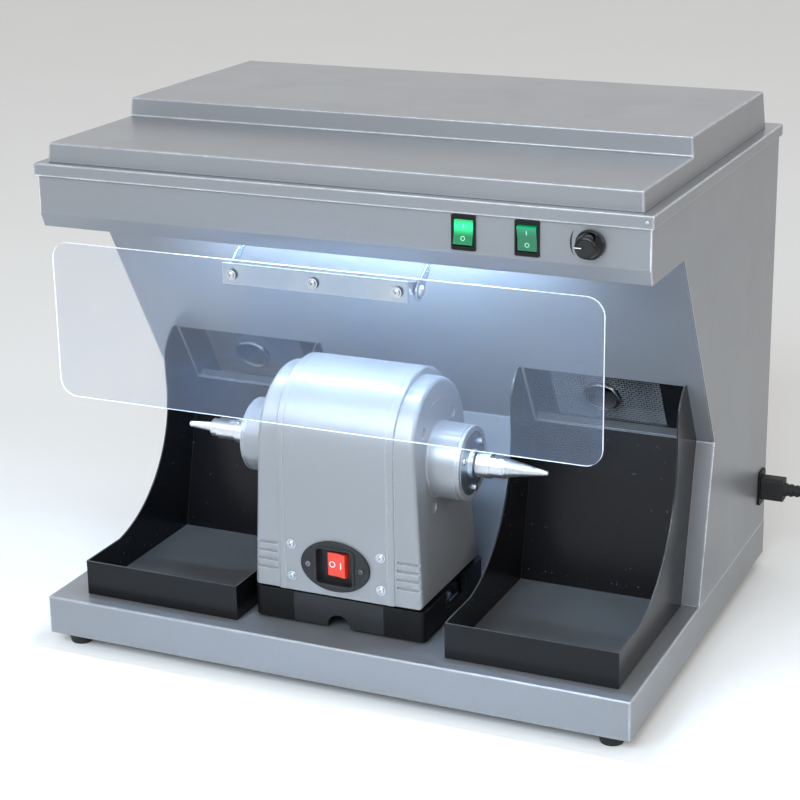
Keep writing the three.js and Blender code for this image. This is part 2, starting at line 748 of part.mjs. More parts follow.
// A spiral that widens clockwise to its top, where it leaves straight to the rear
function scrollShape(inset, outletEnd) {
  const start = blower.scrollStart - inset;
  const top = scrollTop - inset;
  const sill = scrollTop - blower.outletHeight + inset;
  const tongue = Math.asin(sill / start);
  const sweep = tongue + Math.PI + Math.PI / 2;
  const shape = new THREE.Shape();
  shape.moveTo(outletEnd, top);
  shape.lineTo(outletEnd, sill);
  for (let k = 0; k <= largeFacets; k++) {
    const angle = tongue - (sweep * k) / largeFacets;
    const radius = start + ((top - start) * k) / largeFacets;
    shape.lineTo(radius * Math.cos(angle), radius * Math.sin(angle));
  }
  return shape;
}

function blowerHousing() {
  const { wall, scrollStart } = blower;
  const outletEnd = cabinetRear - sheet - gap - fanY;
  const centre = [fanY, fanZ];
  const footY = blower.footDepth / 2;
  return prism('x', scrollShape(0, outletEnd), fanFront, fanRear, { centre })
    .add(block([fanFront, fanY - footY, floorZ], [fanRear, fanY + footY, fanZ - scrollStart]))
    .subtract(prism('x', scrollShape(wall, outletEnd + overrun), fanFront + wall, fanRear - wall, { centre }))
    .subtract(rod('x', cartridge.bore, fanFront - overrun, fanFront + wall + overrun, centre))
    .subtract(rod('x', impeller.shaft + gap, fanRear - wall - overrun, fanRear + overrun, centre, smallFacets));
}

function fanWheel() {
  const { radius, bore, disc, blade, blades } = impeller;
  const discFace = fanRear - blower.wall - blower.wall - disc;
  const bladeFront = discFace - impeller.width;
  let wheel = rod('x', radius, discFace, discFace + disc)
    .add(rod('x', impeller.hub, discFace - impeller.hub, discFace + disc))
    .add(ring('x', radius, bore + blade, bladeFront, bladeFront + blade))
    .add(rod('x', impeller.shaft, discFace, fanRear + gap + fanMotor.shaftDepth - gap));
  for (let k = 0; k < blades; k++) {
    const [inner, outer] = [(k / blades) * Math.PI * 2, (k / blades) * Math.PI * 2 - degrees(impeller.sweep)];
    const from = new THREE.Vector2(bore * Math.cos(inner), bore * Math.sin(inner));
    const to = new THREE.Vector2(radius * Math.cos(outer), radius * Math.sin(outer));
    const inset = to.clone().sub(from).setLength(blade);
    const tip = to.clone().sub(inset);
    wheel = wheel.add(prism(
      'x', folded([[from.x, from.y], [tip.x, tip.y]], blade), bladeFront, discFace + disc / 2));
  }
  return wheel;
}

function fanMotorBody() {
  const [from, to] = [fanRear + gap, fanRear + gap + fanMotor.length];
  return turned('x', [
    [from, 0],
    [from, fanMotor.radius],
    [to - fanMotor.stepLength, fanMotor.radius],
    [to - fanMotor.stepLength, fanMotor.step],
    [to, fanMotor.step],
    [to, 0],
  ]).subtract(rod('x', impeller.shaft + gap, from - overrun, from + fanMotor.shaftDepth, [0, 0], smallFacets));
}

// Switches and the speed knob

const switchBody = {
  width: rocker.width + rocker.clearance + rocker.clearance + switchGear.wall + switchGear.wall,
  height: rocker.endRadius + rocker.endRadius + switchGear.endWall + switchGear.endWall,
};

function switchBezel() {
  const { bezelWidth, bezelHeight, bezelDepth, cornerRadius, bodyDepth, cavityDepth } = switchGear;
  const face = headerY - gap;
  const room = rocker.endRadius + rocker.clearance;
  const cavity = rectangle(rocker.width + rocker.clearance + rocker.clearance, room + room);
  return prism('y', rectangle(bezelWidth, bezelHeight, cornerRadius), face - bezelDepth, face)
    .add(prism('y', rectangle(switchBody.width, switchBody.height, cornerRadius), face - bezelDepth / 2, headerY + bodyDepth))
    .subtract(prism('y', cavity, face - bezelDepth - overrun, headerY + cavityDepth));
}

// A dished rocker about its pivot, with its width along X and its face to the front
function rockerCap({ width, endRadius, dish, cornerAngle, rootAngle }) {
  const [root, corner] = [degrees(rootAngle), degrees(cornerAngle)];
  const profile = new THREE.Shape();
  profile.absarc(0, 0, endRadius, Math.PI / 2 + root, Math.PI / 2 + corner);
  profile.lineTo(-dish, 0);
  profile.absarc(0, 0, endRadius, -Math.PI / 2 - corner, -Math.PI / 2 - root);
  return prism('x', profile, -width / 2, width / 2);
}

function speedKnob() {
  const base = -knob.standoff;
  const face = base - knob.height;
  const skirtTop = base - knob.skirtHeight;
  const ridge = knob.pointerWidth / 2;
  return turned('y', [
    [base, 0],
    [base, knob.skirtRadius],
    [skirtTop, knob.skirtRadius],
    [skirtTop - knob.edge, knob.waistRadius],
    [face + knob.edge, knob.faceRadius],
    [face, knob.faceRadius - knob.edge],
    [face, 0],
  ])
    .add(block([-knob.faceRadius, face - knob.pointerHeight, -ridge], [-knob.edge, face + knob.edge, ridge]))
    .subtract(rod('y', knob.shaftRadius + gap, base - knob.shaftDepth - gap, base + overrun, [0, 0], smallFacets));
}

function controlShaft() {
  const seat = sheet + gap + control.boreDepth - gap;
  return rod('y', knob.shaftRadius, -knob.standoff - knob.shaftDepth, seat, [0, 0], smallFacets);
}

function speedControl() {
  const seat = sheet + gap;
  return rod('y', control.radius, seat, seat + control.depth)
    .add(rod('y', control.bushing, 0, seat + overrun, [0, 0], smallFacets))
    .subtract(rod('y', knob.shaftRadius + gap, -overrun, seat + control.boreDepth, [0, 0], smallFacets));
}

// Lamp: a tube between two end caps under a tray

const lampY = headerY + lamp.setback - cabinet.headerSetback;
const trayZ = headerFloorZ - gap;
const lampZ = trayZ - lamp.wall - lamp.radius - gap;

function lampHolder() {
  const [x, y] = [lamp.length / 2 + gap + lamp.wall, lamp.trayWidth / 2];
  const capX = x - lamp.capLength;
  const capRadius = lamp.radius + gap + lamp.wall;
  const caps = prism('x', rectangle(capRadius + capRadius, capRadius + capRadius, lamp.wall), -x, x, {
    centre: [lampY, lampZ],
  }).subtract(block([-capX, lampY - y, lampZ - lamp.trayWidth], [capX, lampY + y, trayZ]));
  return block([-x, lampY - y, trayZ - lamp.wall], [x, lampY + y, trayZ])
    .add(caps)
    .subtract(rod('x', lamp.radius + gap, lamp.wall - x, x - lamp.wall, [lampY, lampZ], hiddenFacets));
}

const lampTube = () => rod('x', lamp.radius, -lamp.length / 2, lamp.length / 2, [lampY, lampZ]);

// Shield, drawn about the pivots it tilts on

const glassY = shield.setback - channel.pivotSetback;
const glassLow = shield.lowerEdge + baseTop - pivotZ;
const glassTop = glassLow + shield.height;
const stripY = glassY + shield.thickness + gap;
const screwZ = glassTop - channel.topInset - faceScrew.drop;
const screwPlaces = [-faceScrew.spacing, 0, faceScrew.spacing];

function drilled(body) {
  for (const x of screwPlaces) {
    body = body.subtract(rod('y', faceScrew.radius, glassY - overrun, stripY + sheet + overrun, [x, screwZ], smallFacets));
  }
  return body;
}

function shieldGlass() {
  const shape = rectangle(shieldWidth, shield.height, shield.cornerRadius);
  return drilled(prism('y', shape, glassY, glassY + shield.thickness, {
    centre: [0, glassLow + shield.height / 2],
    arc: middleArc,
  }));
}

function shieldChannel() {
  const top = glassTop - channel.topInset;
  const low = top - channel.height;
  const origin = [0, 0];
  const ear = new THREE.Shape();
  ear.moveTo(stripY, low);
  ear.absarc(0, 0, channel.endRadius,
    touchAngle(origin, channel.endRadius, [stripY, low], 1), touchAngle(origin, channel.endRadius, [stripY, top], -1));
  ear.lineTo(stripY, top);
  let bracket = block([-earX, stripY, low], [earX, stripY + sheet, top]);
  for (const x of [-earX, earX - sheet]) {
    bracket = bracket
      .add(prism('x', ear, x, x + sheet, { arc: middleArc }))
      .subtract(rod('x', pivot.radius + gap, x - overrun, x + sheet + overrun, origin, smallFacets));
  }
  return drilled(bracket);
}

function shieldHanger() {
  const [y0, top] = [front + hanger.setback - pivotY, headerFloorZ - gap - pivotZ];
  const y1 = y0 + hanger.depth;
  const shoulder = headerZ - pivotZ - hanger.shoulderDrop;
  const origin = [0, 0];
  const arm = new THREE.Shape();
  arm.moveTo(y0, top);
  arm.lineTo(y0, shoulder);
  arm.absarc(0, 0, channel.endRadius,
    touchAngle(origin, channel.endRadius, [y0, shoulder], 1),
    touchAngle(origin, channel.endRadius, [y1, shoulder], -1) + Math.PI * 2);
  arm.lineTo(y1, shoulder);
  arm.lineTo(y1, top);
  let bracket = block([-armX - sheet, y0, top - sheet], [armX + sheet, y1, top]);
  for (const x of [-armX - sheet, armX]) {
    bracket = bracket
      .add(prism('x', arm, x, x + sheet, { arc: middleArc }))
      .subtract(rod('x', pivot.radius + gap, x - overrun, x + sheet + overrun, origin, smallFacets));
  }
  return bracket;
}

function pivotScrew() {
  const head = armX + sheet + gap;
  const nut = earX - sheet - gap;
  return turned('x', [
    [nut - pivot.nutHeight, 0],
    [nut - pivot.nutHeight, pivot.nutRadius],
    [nut, pivot.nutRadius],
    [nut, pivot.radius],
    [head, pivot.radius],
    [head, pivot.headRadius],
    [head + pivot.headHeight / 2, pivot.headRadius],
    [head + pivot.headHeight, pivot.headRadius / 2],
    [head + pivot.headHeight, 0],
  ], [0, 0], smallFacets);
}

// Plinth under the motor

function plinthBody() {
  const { width, depth, wall, cornerRadius, seatInset, seatWidth, footInset, insertWidth, insertDepth } = plinth;
  const [x, y] = [width / 2, depth / 2];
  const middleY = plinthY + y;
  let body = prism('z', rectangle(width, depth, cornerRadius), plinthZ, plinthTop, { centre: [0, middleY] })
    .subtract(block(
      [wall - x, plinthY + wall, plinthZ - overrun], [x - wall, plinthY + depth - wall, plinthTop - wall]))
    .subtract(block(
      [-insertWidth / 2 - gap, plinthY - overrun, plinthZ - overrun],
      [insertWidth / 2 + gap, plinthY + insertDepth + gap, plinthTop + overrun]))
    .subtract(rod('y', plinth.archRadius, plinthY - overrun, plinthY + wall + overrun, [0, plinthZ], roundFacets));
  for (const side of [-1, 1]) {
    const [inner, outer] = [side * (x - wall - overrun), side * (x + overrun)];
    const windowY = plinthY + plinth.windowSetback;
    body = body.subtract(block(
      [Math.min(inner, outer), windowY, plinthTop - plinth.windowHeight],
      [Math.max(inner, outer), windowY + plinth.windowLength, plinthTop + overrun]));
    const seatX = side * (x - seatInset);
    for (const seatY of [plinthY + seatInset, plinthY + depth - seatInset - seatWidth]) {
      body = body.add(block(
        [Math.min(seatX, seatX - side * seatWidth), seatY, plinthTop - wall / 2],
        [Math.max(seatX, seatX - side * seatWidth), seatY + seatWidth, plinthTop + plinth.seatHeight]));
    }
    for (const footY of [plinthY + footInset, plinthY + depth - footInset]) {
      body = body.add(rod(
        'z', plinth.footRadius, floorZ, plinthTop - wall / 2, [side * (x - footInset), footY], smallFacets));
    }
  }
  return body.add(clampScrew());
}

// The clamping screw seen in the plinth's right window, with its boss
function clampScrew() {
  const x = plinth.width / 2;
  const centre = [plinthY + clamp.setback, plinthTop - clamp.drop];
  const boss = x - plinth.wall - clamp.wingSpan;
  const headX = x - plinth.wall;
  return block(
    [boss - plinth.wall, centre[0] - clamp.headRadius, centre[1] - clamp.headRadius],
    [boss, centre[0] + clamp.headRadius, plinthTop - plinth.wall / 2])
    .add(rod('x', clamp.radius, boss - plinth.wall / 2, headX, centre, smallFacets))
    .add(rod('x', clamp.headRadius, headX - clamp.headHeight, headX, centre, smallFacets))
    .add(block(
      [headX - clamp.headHeight, centre[0] - clamp.wingSpan / 2, centre[1] - clamp.wingThickness / 2],
      [headX + clamp.headHeight, centre[0] + clamp.wingSpan / 2, centre[1] + clamp.wingThickness / 2]));
}

function plinthInsert() {
  const x = plinth.insertWidth / 2;
  return block([-x, plinthY, plinthZ], [x, plinthY + plinth.insertDepth, plinthTop])
    .subtract(rod('y', plinth.archRadius, plinthY - overrun, plinthY + plinth.wall, [0, plinthZ], roundFacets));
}

// Motor body. Cover and castings share a U outline: an upright front, a round crown and a
// rear that slopes from the crown's side to the foot.

function bodyOutline(radius, step, inset, low = motorZ + inset) {
  const centreY = coverY + step + radius;
  const [inner, footY] = [radius - inset, motorRearY - step - inset];
  const endAngle = touchAngle([centreY, crownZ], inner, [footY, low], 1);
  const points = [[coverY + step + inset, low]];
  for (let k = 0; k <= roundFacets; k++) {
    const angle = Math.PI + ((endAngle - Math.PI) * k) / roundFacets;
    points.push([centreY + inner * Math.cos(angle), crownZ + inner * Math.sin(angle)]);
  }
  return [...points, [footY, low]];
}

const motorRearY = coverY + motor.depth;
const plateZ = motorZ + plate.rise;

function motorCover() {
  const { coverHalf, coverRadius, coverSheet } = motor;
  const [w, h] = [cup.width + cup.wall + cup.wall + gap + gap, cup.height + cup.wall + cup.wall + gap + gap];
  const window = rectangle(w, h, cup.cornerRadius);
  return prism('x', bodyOutline(coverRadius, 0, 0), -coverHalf, coverHalf)
    .subtract(prism(
      'x', bodyOutline(coverRadius, 0, coverSheet, motorZ - overrun), -coverHalf - overrun, coverHalf + overrun))
    .subtract(prism('y', window, coverY - overrun, coverY + coverSheet + overrun, { centre: [0, plateZ] }));
}

// One ring of the casting's skin; leaning rings follow the draft of the outer face
function castingRing(station, inset, leaning) {
  return bodyOutline(motor.castingRadius, motor.castingStep, inset).map(([y, z]) =>
    new THREE.Vector3(station - (leaning ? motor.draftShare * (z - motorZ) : 0), y, z));
}

const castingFace = (z) => motor.baseHalf - motor.draftShare * (z - motorZ);

// The right end casting; the left one is its mirror image
function endCasting() {
  const { baseHalf, coverHalf, drumHalf, edgeRadius, castingWall, drumEdge, castingStep } = motor;
  const seamX = coverHalf + gap;
  const spindleAxis = [axisY, axisZ];
  const skin = [castingRing(seamX, 0, false), castingRing(drumHalf, 0, false)];
  for (let k = 0; k <= smallArc; k++) {
    const angle = (k / smallArc) * (Math.PI / 2);
    const inset = edgeRadius * (1 - Math.cos(angle));
    skin.push(castingRing(baseHalf - edgeRadius * (1 - Math.sin(angle)), inset, true));
  }
  const hollow = [
    castingRing(coverHalf - overrun, castingWall, false),
    castingRing(drumHalf, castingWall, false),
    castingRing(baseHalf - castingWall, castingWall, true),
  ];
  const band = loft([
    bodyOutline(motor.coverRadius, 0, 0).map(([y, z]) => new THREE.Vector3(seamX, y, z)),
    bodyOutline(motor.coverRadius, 0, 0).map(([y, z]) => new THREE.Vector3(drumHalf - drumEdge, y, z)),
    bodyOutline(motor.coverRadius, 0, drumEdge).map(([y, z]) => new THREE.Vector3(drumHalf, y, z)),
  ]);
  const boreEnd = hub.reach - bearing.setback + gap;
  let casting = loft(skin)
    .add(band)
    .subtract(loft(hollow))
    .add(ring(
      'x', stator.radius + gap + spigot.wall, stator.radius + gap, spigot.half, castingFace(crownZ) - castingWall / 2,
      spindleAxis, largeFacets))
    .add(turned('x', hubProfile(), spindleAxis, largeFacets))
    .subtract(rod('x', bearing.radius + gap, hub.root - overrun, boreEnd, spindleAxis))
    .subtract(rod('x', hub.passage, hub.root, hub.reach + overrun, spindleAxis))
    .subtract(rod('x', cap.radius + gap, hubFace, hub.reach + overrun, spindleAxis, largeFacets));
  for (const [across, up] of sideHoles) {
    const z = axisZ + up;
    casting = casting.subtract(rod(
      'x', sideHole.radius, castingFace(z) - sideHole.depth, castingFace(z) + overrun, [axisY + across, z], smallFacets));
  }
  const slotHalf = (vent.outer - vent.inner) / 2;
  for (let k = 0; k < vent.count; k++) {
    const slot = rectangle(slotHalf + slotHalf + vent.height, vent.height, vent.height / 2);
    const centre = [vent.inner + slotHalf + vent.height / 2, motorZ + vent.rise + k * vent.pitch];
    casting = casting.subtract(prism(
      'y', slot, coverY - overrun, coverY + castingStep + vent.depth, { centre, arc: 1 }));
  }
  return casting;
}

const sideHoles = [
  [-sideHole.highSpacing / 2, sideHole.high],
  [sideHole.highSpacing / 2, sideHole.high],
  [-sideHole.lowSpacing / 2, -sideHole.low],
  [sideHole.lowSpacing / 2, -sideHole.low],
];

function hubProfile() {
  const { root, reach, rootRadius, radius, grooveSetback, grooveWidth, grooveDepth, edge } = hub;
  const groove = reach - grooveSetback;
  return [
    [root, 0],
    [root, rootRadius],
    [groove, radius],
    [groove, radius - grooveDepth],
    [groove + grooveWidth, radius - grooveDepth],
    [groove + grooveWidth, radius],
    [reach - edge, radius],
    [reach, radius - edge],
    [reach, 0],
  ];
}

function bearingCap() {
  const { radius, thickness, noseRadius, noseLength, edge } = cap;
  const [from, face] = [hubFace + gap, hubFace + gap + thickness];
  const bore = shaft.radius + shaft.clearance;
  return turned('x', [
    [from, bore],
    [from, radius],
    [face - edge, radius],
    [face, radius - edge],
    [face, noseRadius],
    [face + noseLength - edge, noseRadius],
    [face + noseLength, noseRadius - edge],
    [face + noseLength, bore],
    [from, bore],
  ], [0, 0], largeFacets);
}

function ballBearing() {
  const { radius, width, setback, raceWall, shieldDepth } = bearing;
  const to = hub.reach - setback;
  const from = to - width;
  const bore = shaft.radius + gap;
  const [outerRace, innerRace] = [radius - raceWall, bore + raceWall];
  return turned('x', [
    [from, bore],
    [from, innerRace],
    [from + shieldDepth, innerRace],
    [from + shieldDepth, outerRace],
    [from, outerRace],
    [from, radius],
    [to, radius],
    [to, outerRace],
    [to - shieldDepth, outerRace],
    [to - shieldDepth, innerRace],
    [to, innerRace],
    [to, bore],
    [from, bore],
  ], [0, 0], hiddenFacets);
}

const statorCore = () => ring('x', stator.radius, stator.bore, -stator.half, stator.half, [0, 0], largeFacets);

function rotorShaft() {
  let rotor = rod('x', shaft.rotorRadius, -shaft.rotorHalf, shaft.rotorHalf)
    .add(rod('x', shaft.radius, -shaft.reach, shaft.reach));
  for (let k = 0; k < shaft.slots; k++) {
    const angle = (k / shaft.slots) * Math.PI * 2;
    const centre = [shaft.rotorRadius * Math.cos(angle), shaft.rotorRadius * Math.sin(angle)];
    rotor = rotor.subtract(rod(
      'x', shaft.slotDepth, -shaft.rotorHalf - overrun, shaft.rotorHalf + overrun, centre, smallFacets / 2));
  }
  return rotor;
}

// Both spindles are drawn to the right; the left one is turned round
function spindleBlank(nut, nutProfile) {
  const { start, collarLength, collarRadius, edge, boreDepth, flats, tip } = spindle;
  const collarEnd = start + collarLength;
  const nutEnd = collarEnd + nut.length;
  const flatsFrom = nutEnd - (nut.waistLength ?? 0) - taperNut.length;
  let body = turned('x', [
    [start, 0],
    [start, collarRadius - edge],
    [start + edge, collarRadius],
    [collarEnd - edge, collarRadius],
    [collarEnd, nut.radius],
    ...nutProfile(nutEnd),
    [nutEnd, nut.rootRadius],
    [tip - nut.tipRadius / 2, nut.tipRadius],
    [tip, nut.tipRadius / 2],
    [tip, 0],
  ]).subtract(rod('x', shaft.radius + gap, start - overrun, start + boreDepth));
  for (const side of [-1, 1]) {
    const [inner, outer] = [(side * flats) / 2, side * (collarRadius + overrun)];
    body = body.subtract(block(
      [flatsFrom, -collarRadius, Math.min(inner, outer)], [nutEnd - edge, collarRadius, Math.max(inner, outer)]));
  }
  return body;
}

const rightSpindle = () => spindleBlank(taperNut, (end) => [
  [end - spindle.edge, taperNut.radius],
  [end, taperNut.radius - spindle.edge],
]);

const leftSpindle = () => spindleBlank(sleeveNut, (end) => [
  [end - sleeveNut.waistLength, sleeveNut.radius],
  [end - sleeveNut.waistLength, sleeveNut.waist],
  [end - spindle.edge, sleeveNut.waist],
  [end, sleeveNut.waist - spindle.edge],
]);

function switchPlate() {
  const face = coverY - gap - plate.thickness;
  const backFace = coverY - gap;
  const oval = (inset) => new THREE.Shape().absellipse(
    0, 0, plate.halfWidth - inset, plate.halfHeight - inset, 0, Math.PI * 2);
  const at = { centre: [0, plateZ] };
  const floorY = face + cup.depth;
  const reach = motorRocker.endRadius + motorRocker.clearance;
  const [slotWidth, slotHeight] = [reach + reach, motorRocker.width + motorRocker.clearance + motorRocker.clearance];
  const bodyDepth = motorRocker.pivotDepth + motorRocker.endRadius + cup.wall;
  return prism('y', oval(0), face + plate.bevel, backFace, { ...at, arc: largeArc })
    .add(prism('y', oval(plate.bevel), face, face + plate.bevel + plate.bevel, { ...at, arc: largeArc }))
    .add(prism(
      'y', rectangle(cup.width + cup.wall + cup.wall, cup.height + cup.wall + cup.wall, cup.cornerRadius),
      face + plate.thickness / 2, floorY + cup.wall, at))
    .add(prism(
      'y', rectangle(slotWidth + cup.wall + cup.wall, slotHeight + cup.wall + cup.wall), floorY, floorY + bodyDepth, at))
    .subtract(prism('y', rectangle(cup.width, cup.height, cup.cornerRadius), face - overrun, floorY, at))
    .subtract(prism('y', rectangle(slotWidth, slotHeight), floorY - overrun, floorY + bodyDepth - cup.wall, at));
}

// Mains inlet, connector, lead and plug

const inletY = rear - inlet.rearInset;
const inletZ = baseTop + inlet.rise;
const contacts = [[0, -inlet.contactPitch], [0, inlet.contactPitch], [-inlet.contactHeight, 0]];
const connectorFace = half + gap + inlet.flange + gap;

const contactBlocks = (from, to, room) => contacts.map(([across, up]) => {
  const [w, h] = [inlet.contactWidth / 2 + room, inlet.contactHeight / 2 + room];
  return block([from, inletY + across - w, inletZ + up - h], [to, inletY + across + w, inletZ + up + h]);
});

function powerInlet() {
  const { width, height, flange, cornerRadius, bodyWidth, bodyHeight, bodyDepth, socketDepth } = inlet;
  const at = { centre: [inletY, inletZ] };
  const [seat, face] = [half + gap, half + gap + flange];
  const socket = rectangle(connector.noseWidth + gap + gap, connector.noseHeight + gap + gap, connector.cornerRadius);
  let body = prism('x', rectangle(width, height, cornerRadius), seat, face, at)
    .add(prism('x', rectangle(bodyWidth, bodyHeight, cornerRadius), half - bodyDepth, face - flange / 2, at))
    .subtract(prism('x', socket, face - socketDepth, face + overrun, at));
  for (const contact of contactBlocks(face - socketDepth - overrun, face - socketDepth + inlet.contactLength, 0)) {
    body = body.add(contact);
  }
  return body;
}

function ribbedRelief(from, length, root, tip, ribs, ribDepth) {
  const profile = [[from, 0]];
  for (let k = 0; k < ribs; k++) {
    const [low, high] = [k / ribs, (k + 1 / 2) / ribs].map((share) => [from + length * share, root + (tip - root) * share]);
    profile.push(low, high, [high[0], high[1] - ribDepth]);
    profile.push([from + (length * (k + 1)) / ribs, high[1] - ribDepth]);
  }
  const end = profile.at(-1);
  return [...profile, [end[0], 0]];
}

function cordConnector() {
  const { noseWidth, noseHeight, noseLength, cornerRadius, bodyWidth, bodyHeight, bodyLength } = connector;
  const at = { centre: [inletY, inletZ] };
  const rearX = connectorFace + bodyLength;
  const relief = ribbedRelief(
    rearX, connector.reliefLength, connector.reliefRoot, connector.reliefTip, connector.ribs, connector.ribDepth);
  let body = prism('x', rectangle(bodyWidth, bodyHeight, cornerRadius), connectorFace, rearX, at)
    .add(prism('x', rectangle(noseWidth, noseHeight, cornerRadius), connectorFace - noseLength, rearX, at))
    .add(turned('x', [[rearX - overrun, 0], [rearX - overrun, relief[1][1]], ...relief.slice(1)], at.centre, smallFacets));
  for (const slot of contactBlocks(connectorFace - noseLength - overrun, connectorFace, gap)) {
    body = body.subtract(slot);
  }
  return body;
}

function cordRun() {
  const path = new THREE.CatmullRomCurve3(cordRoute.map((point) => new THREE.Vector3(...point)));
  const section = new THREE.Shape();
  for (let k = 0; k < cord.sides; k++) {
    const angle = ((k + 1 / 2) / cord.sides) * Math.PI * 2;
    const point = [cord.radius * Math.cos(angle), cord.radius * Math.sin(angle)];
    if (k === 0) section.moveTo(...point);
    else section.lineTo(...point);
  }
  return solid(new THREE.ExtrudeGeometry(section, { steps: cord.steps, extrudePath: path, bevelEnabled: false }));
}

// The centre line of the coil: in along the floor, up a layer at the middle and out again
function coilPoint(turn) {
  const middle = coil.turns / 2;
  const radius = coil.outerRadius - coil.pitch * (middle - Math.abs(turn - middle));
  const climb = THREE.MathUtils.clamp((turn - middle) / coil.climbTurns + 1 / 2, 0, 1);
  const angle = -turn * Math.PI * 2;
  return new THREE.Vector3(
    coil.centreX + radius * Math.cos(angle),
    coil.centreY + radius * Math.sin(angle),
    cord.radius + coil.clearance + coil.layerRise * climb);
}

function coilLine(stepsPerTurn) {
  const steps = coil.turns * stepsPerTurn;
  const line = [];
  for (let k = 0; k <= steps; k++) line.push(coilPoint(k / stepsPerTurn));
  const straight = new THREE.Vector3(0, cord.radius + cord.radius, 0);
  return [line[0].clone().add(straight), ...line, line.at(-1).clone().add(straight)];
}

function cordCoil() {
  const line = coilLine(coil.stepsPerTurn);
  const rings = line.map((point, k) => {
    const run = line[Math.min(k + 1, line.length - 1)].clone().sub(line[Math.max(k - 1, 0)]);
    if (k === 0 || k === line.length - 1) run.set(0, k === 0 ? -1 : 1, 0);
    const across = run.clone().cross(unitZ).normalize();
    const up = across.clone().cross(run).normalize();
    return Array.from({ length: coil.sides }, (_, side) => {
      const angle = ((side + 1 / 2) / coil.sides) * Math.PI * 2;
      return point.clone()
        .addScaledVector(across, cord.radius * Math.cos(angle))
        .addScaledVector(up, cord.radius * Math.sin(angle));
    });
  });
  return loft(rings, (point) => new THREE.Vector2(point.x, point.z));
}

// The least free space between two passes of the coil, measured on points of its centre line
function coilSelfGap() {
  const perTurn = coil.stepsPerTurn * 2;
  const line = coilLine(perTurn);
  let least = Infinity;
  for (let a = 0; a < line.length; a++) {
    for (let b = a + perTurn / 2; b < line.length; b++) {
      least = Math.min(least, line[a].distanceTo(line[b]) - cord.radius - cord.radius);
    }
  }
  return least;
}

function mainsPlug() {
  const end = coilPoint(coil.turns);
  const bodyHeight = (end.z - coil.clearance) * 2;
  const root = end.y + cord.radius + cord.radius + gap;
  const [bodyY, faceY] = [root + plug.reliefLength, root + plug.reliefLength + plug.length];
  const at = { centre: [end.x, end.z] };
  const relief = turned('y', [
    [root, 0], [root, cord.radius + gap], [bodyY, plug.reliefRadius], [bodyY + overrun, plug.reliefRadius], [bodyY + overrun, 0],
  ], at.centre, smallFacets);
  let body = prism('y', rectangle(plug.width, bodyHeight, plug.cornerRadius), bodyY, faceY, at)
    .add(relief)
    .add(rod('y', plug.pinRadius, faceY - overrun, faceY + plug.bladeLength, [end.x, end.z - plug.pinDrop], smallFacets));
  for (const side of [-1, 1]) {
    const centre = [end.x + (side * plug.bladePitch) / 2, end.z + plug.bladeHeight / 2];
    body = body.add(prism(
      'y', rectangle(plug.bladeWidth, plug.bladeHeight), faceY - overrun, faceY + plug.bladeLength, { centre }));
  }
  return body;
}

// The assembly

const part = new THREE.Group();
const cabinetGroup = subgroup();
const suctionGroup = subgroup();
const fanGroup = subgroup([0, fanY, fanZ]);
const controlGroup = subgroup([0, headerY, switchZ]);
const shieldGroup = subgroup([0, pivotY, pivotZ]);
const motorGroup = subgroup();
const spindleGroup = subgroup([0, axisY, axisZ]);
const mainsGroup = subgroup();
const halfTurn = [0, 0, Math.PI];

add(cabinetGroup, 'base_pan', basePan(), silverPaint);
const [footX, footFront, footRear] = [half - foot.sideInset, front + foot.endInset, rear - foot.endInset];
add(cabinetGroup, 'foot_front_left', rubberFoot(), rubber, [-footX, footFront, 0]);
add(cabinetGroup, 'foot_front_right', rubberFoot(), rubber, [footX, footFront, 0]);
add(cabinetGroup, 'foot_rear_left', rubberFoot(), rubber, [-footX, footRear, 0]);
add(cabinetGroup, 'foot_rear_right', rubberFoot(), rubber, [footX, footRear, 0]);
const inletHole = prism(
  'x', rectangle(inlet.bodyWidth + gap + gap, inlet.bodyHeight + gap + gap, inlet.cornerRadius),
  half - sheet - overrun, half + overrun, { centre: [inletY, inletZ] });
add(cabinetGroup, 'side_panel_left', mirrored(sidePanel()), silverPaint);
add(cabinetGroup, 'side_panel_right', sidePanel().subtract(inletHole), silverPaint);
add(cabinetGroup, 'back_panel', backPanel(), silverPaint);
add(cabinetGroup, 'work_face', workFace(), silverPaint);
add(cabinetGroup, 'header_front', headerFront(), silverPaint);
const headerFloorRear = headerRearY + cabinet.floorLap;
add(cabinetGroup, 'header_floor', block(
  [-innerHalf, headerY + sheet + gap, headerFloorZ], [innerHalf, headerFloorRear, headerFloorZ + sheet]), silverPaint);
add(cabinetGroup, 'top_rim', topRim(), silverPaint);
add(cabinetGroup, 'lid', steppedLid(), silverPaint);
add(cabinetGroup, 'exhaust_grille', exhaustGrille(), blackPlastic);

for (const [name, x] of [['left', leftBayX], ['right', rightBayX]]) {
  add(suctionGroup, `bin_${name}`, dustBin(), blackSheet, [x, 0, 0]);
  add(suctionGroup, `mesh_screen_${name}`, meshScreen(), wireMesh, [x, 0, 0]);
  add(suctionGroup, `suction_hood_${name}`, suctionHood(), blackSheet, [x, 0, 0]);
}
add(suctionGroup, 'duct_pipe', ductPipe(), blackPlastic);
add(suctionGroup, 'filter_box', filterCase(), zincSteel);
add(suctionGroup, 'filter_cartridge', filterCartridge(), filterPaper);
add(suctionGroup, 'blower_housing', blowerHousing(), blackPlastic);
add(fanGroup, 'impeller', fanWheel(), zincSteel);
add(fanGroup, 'blower_motor', fanMotorBody(), coreSteel);

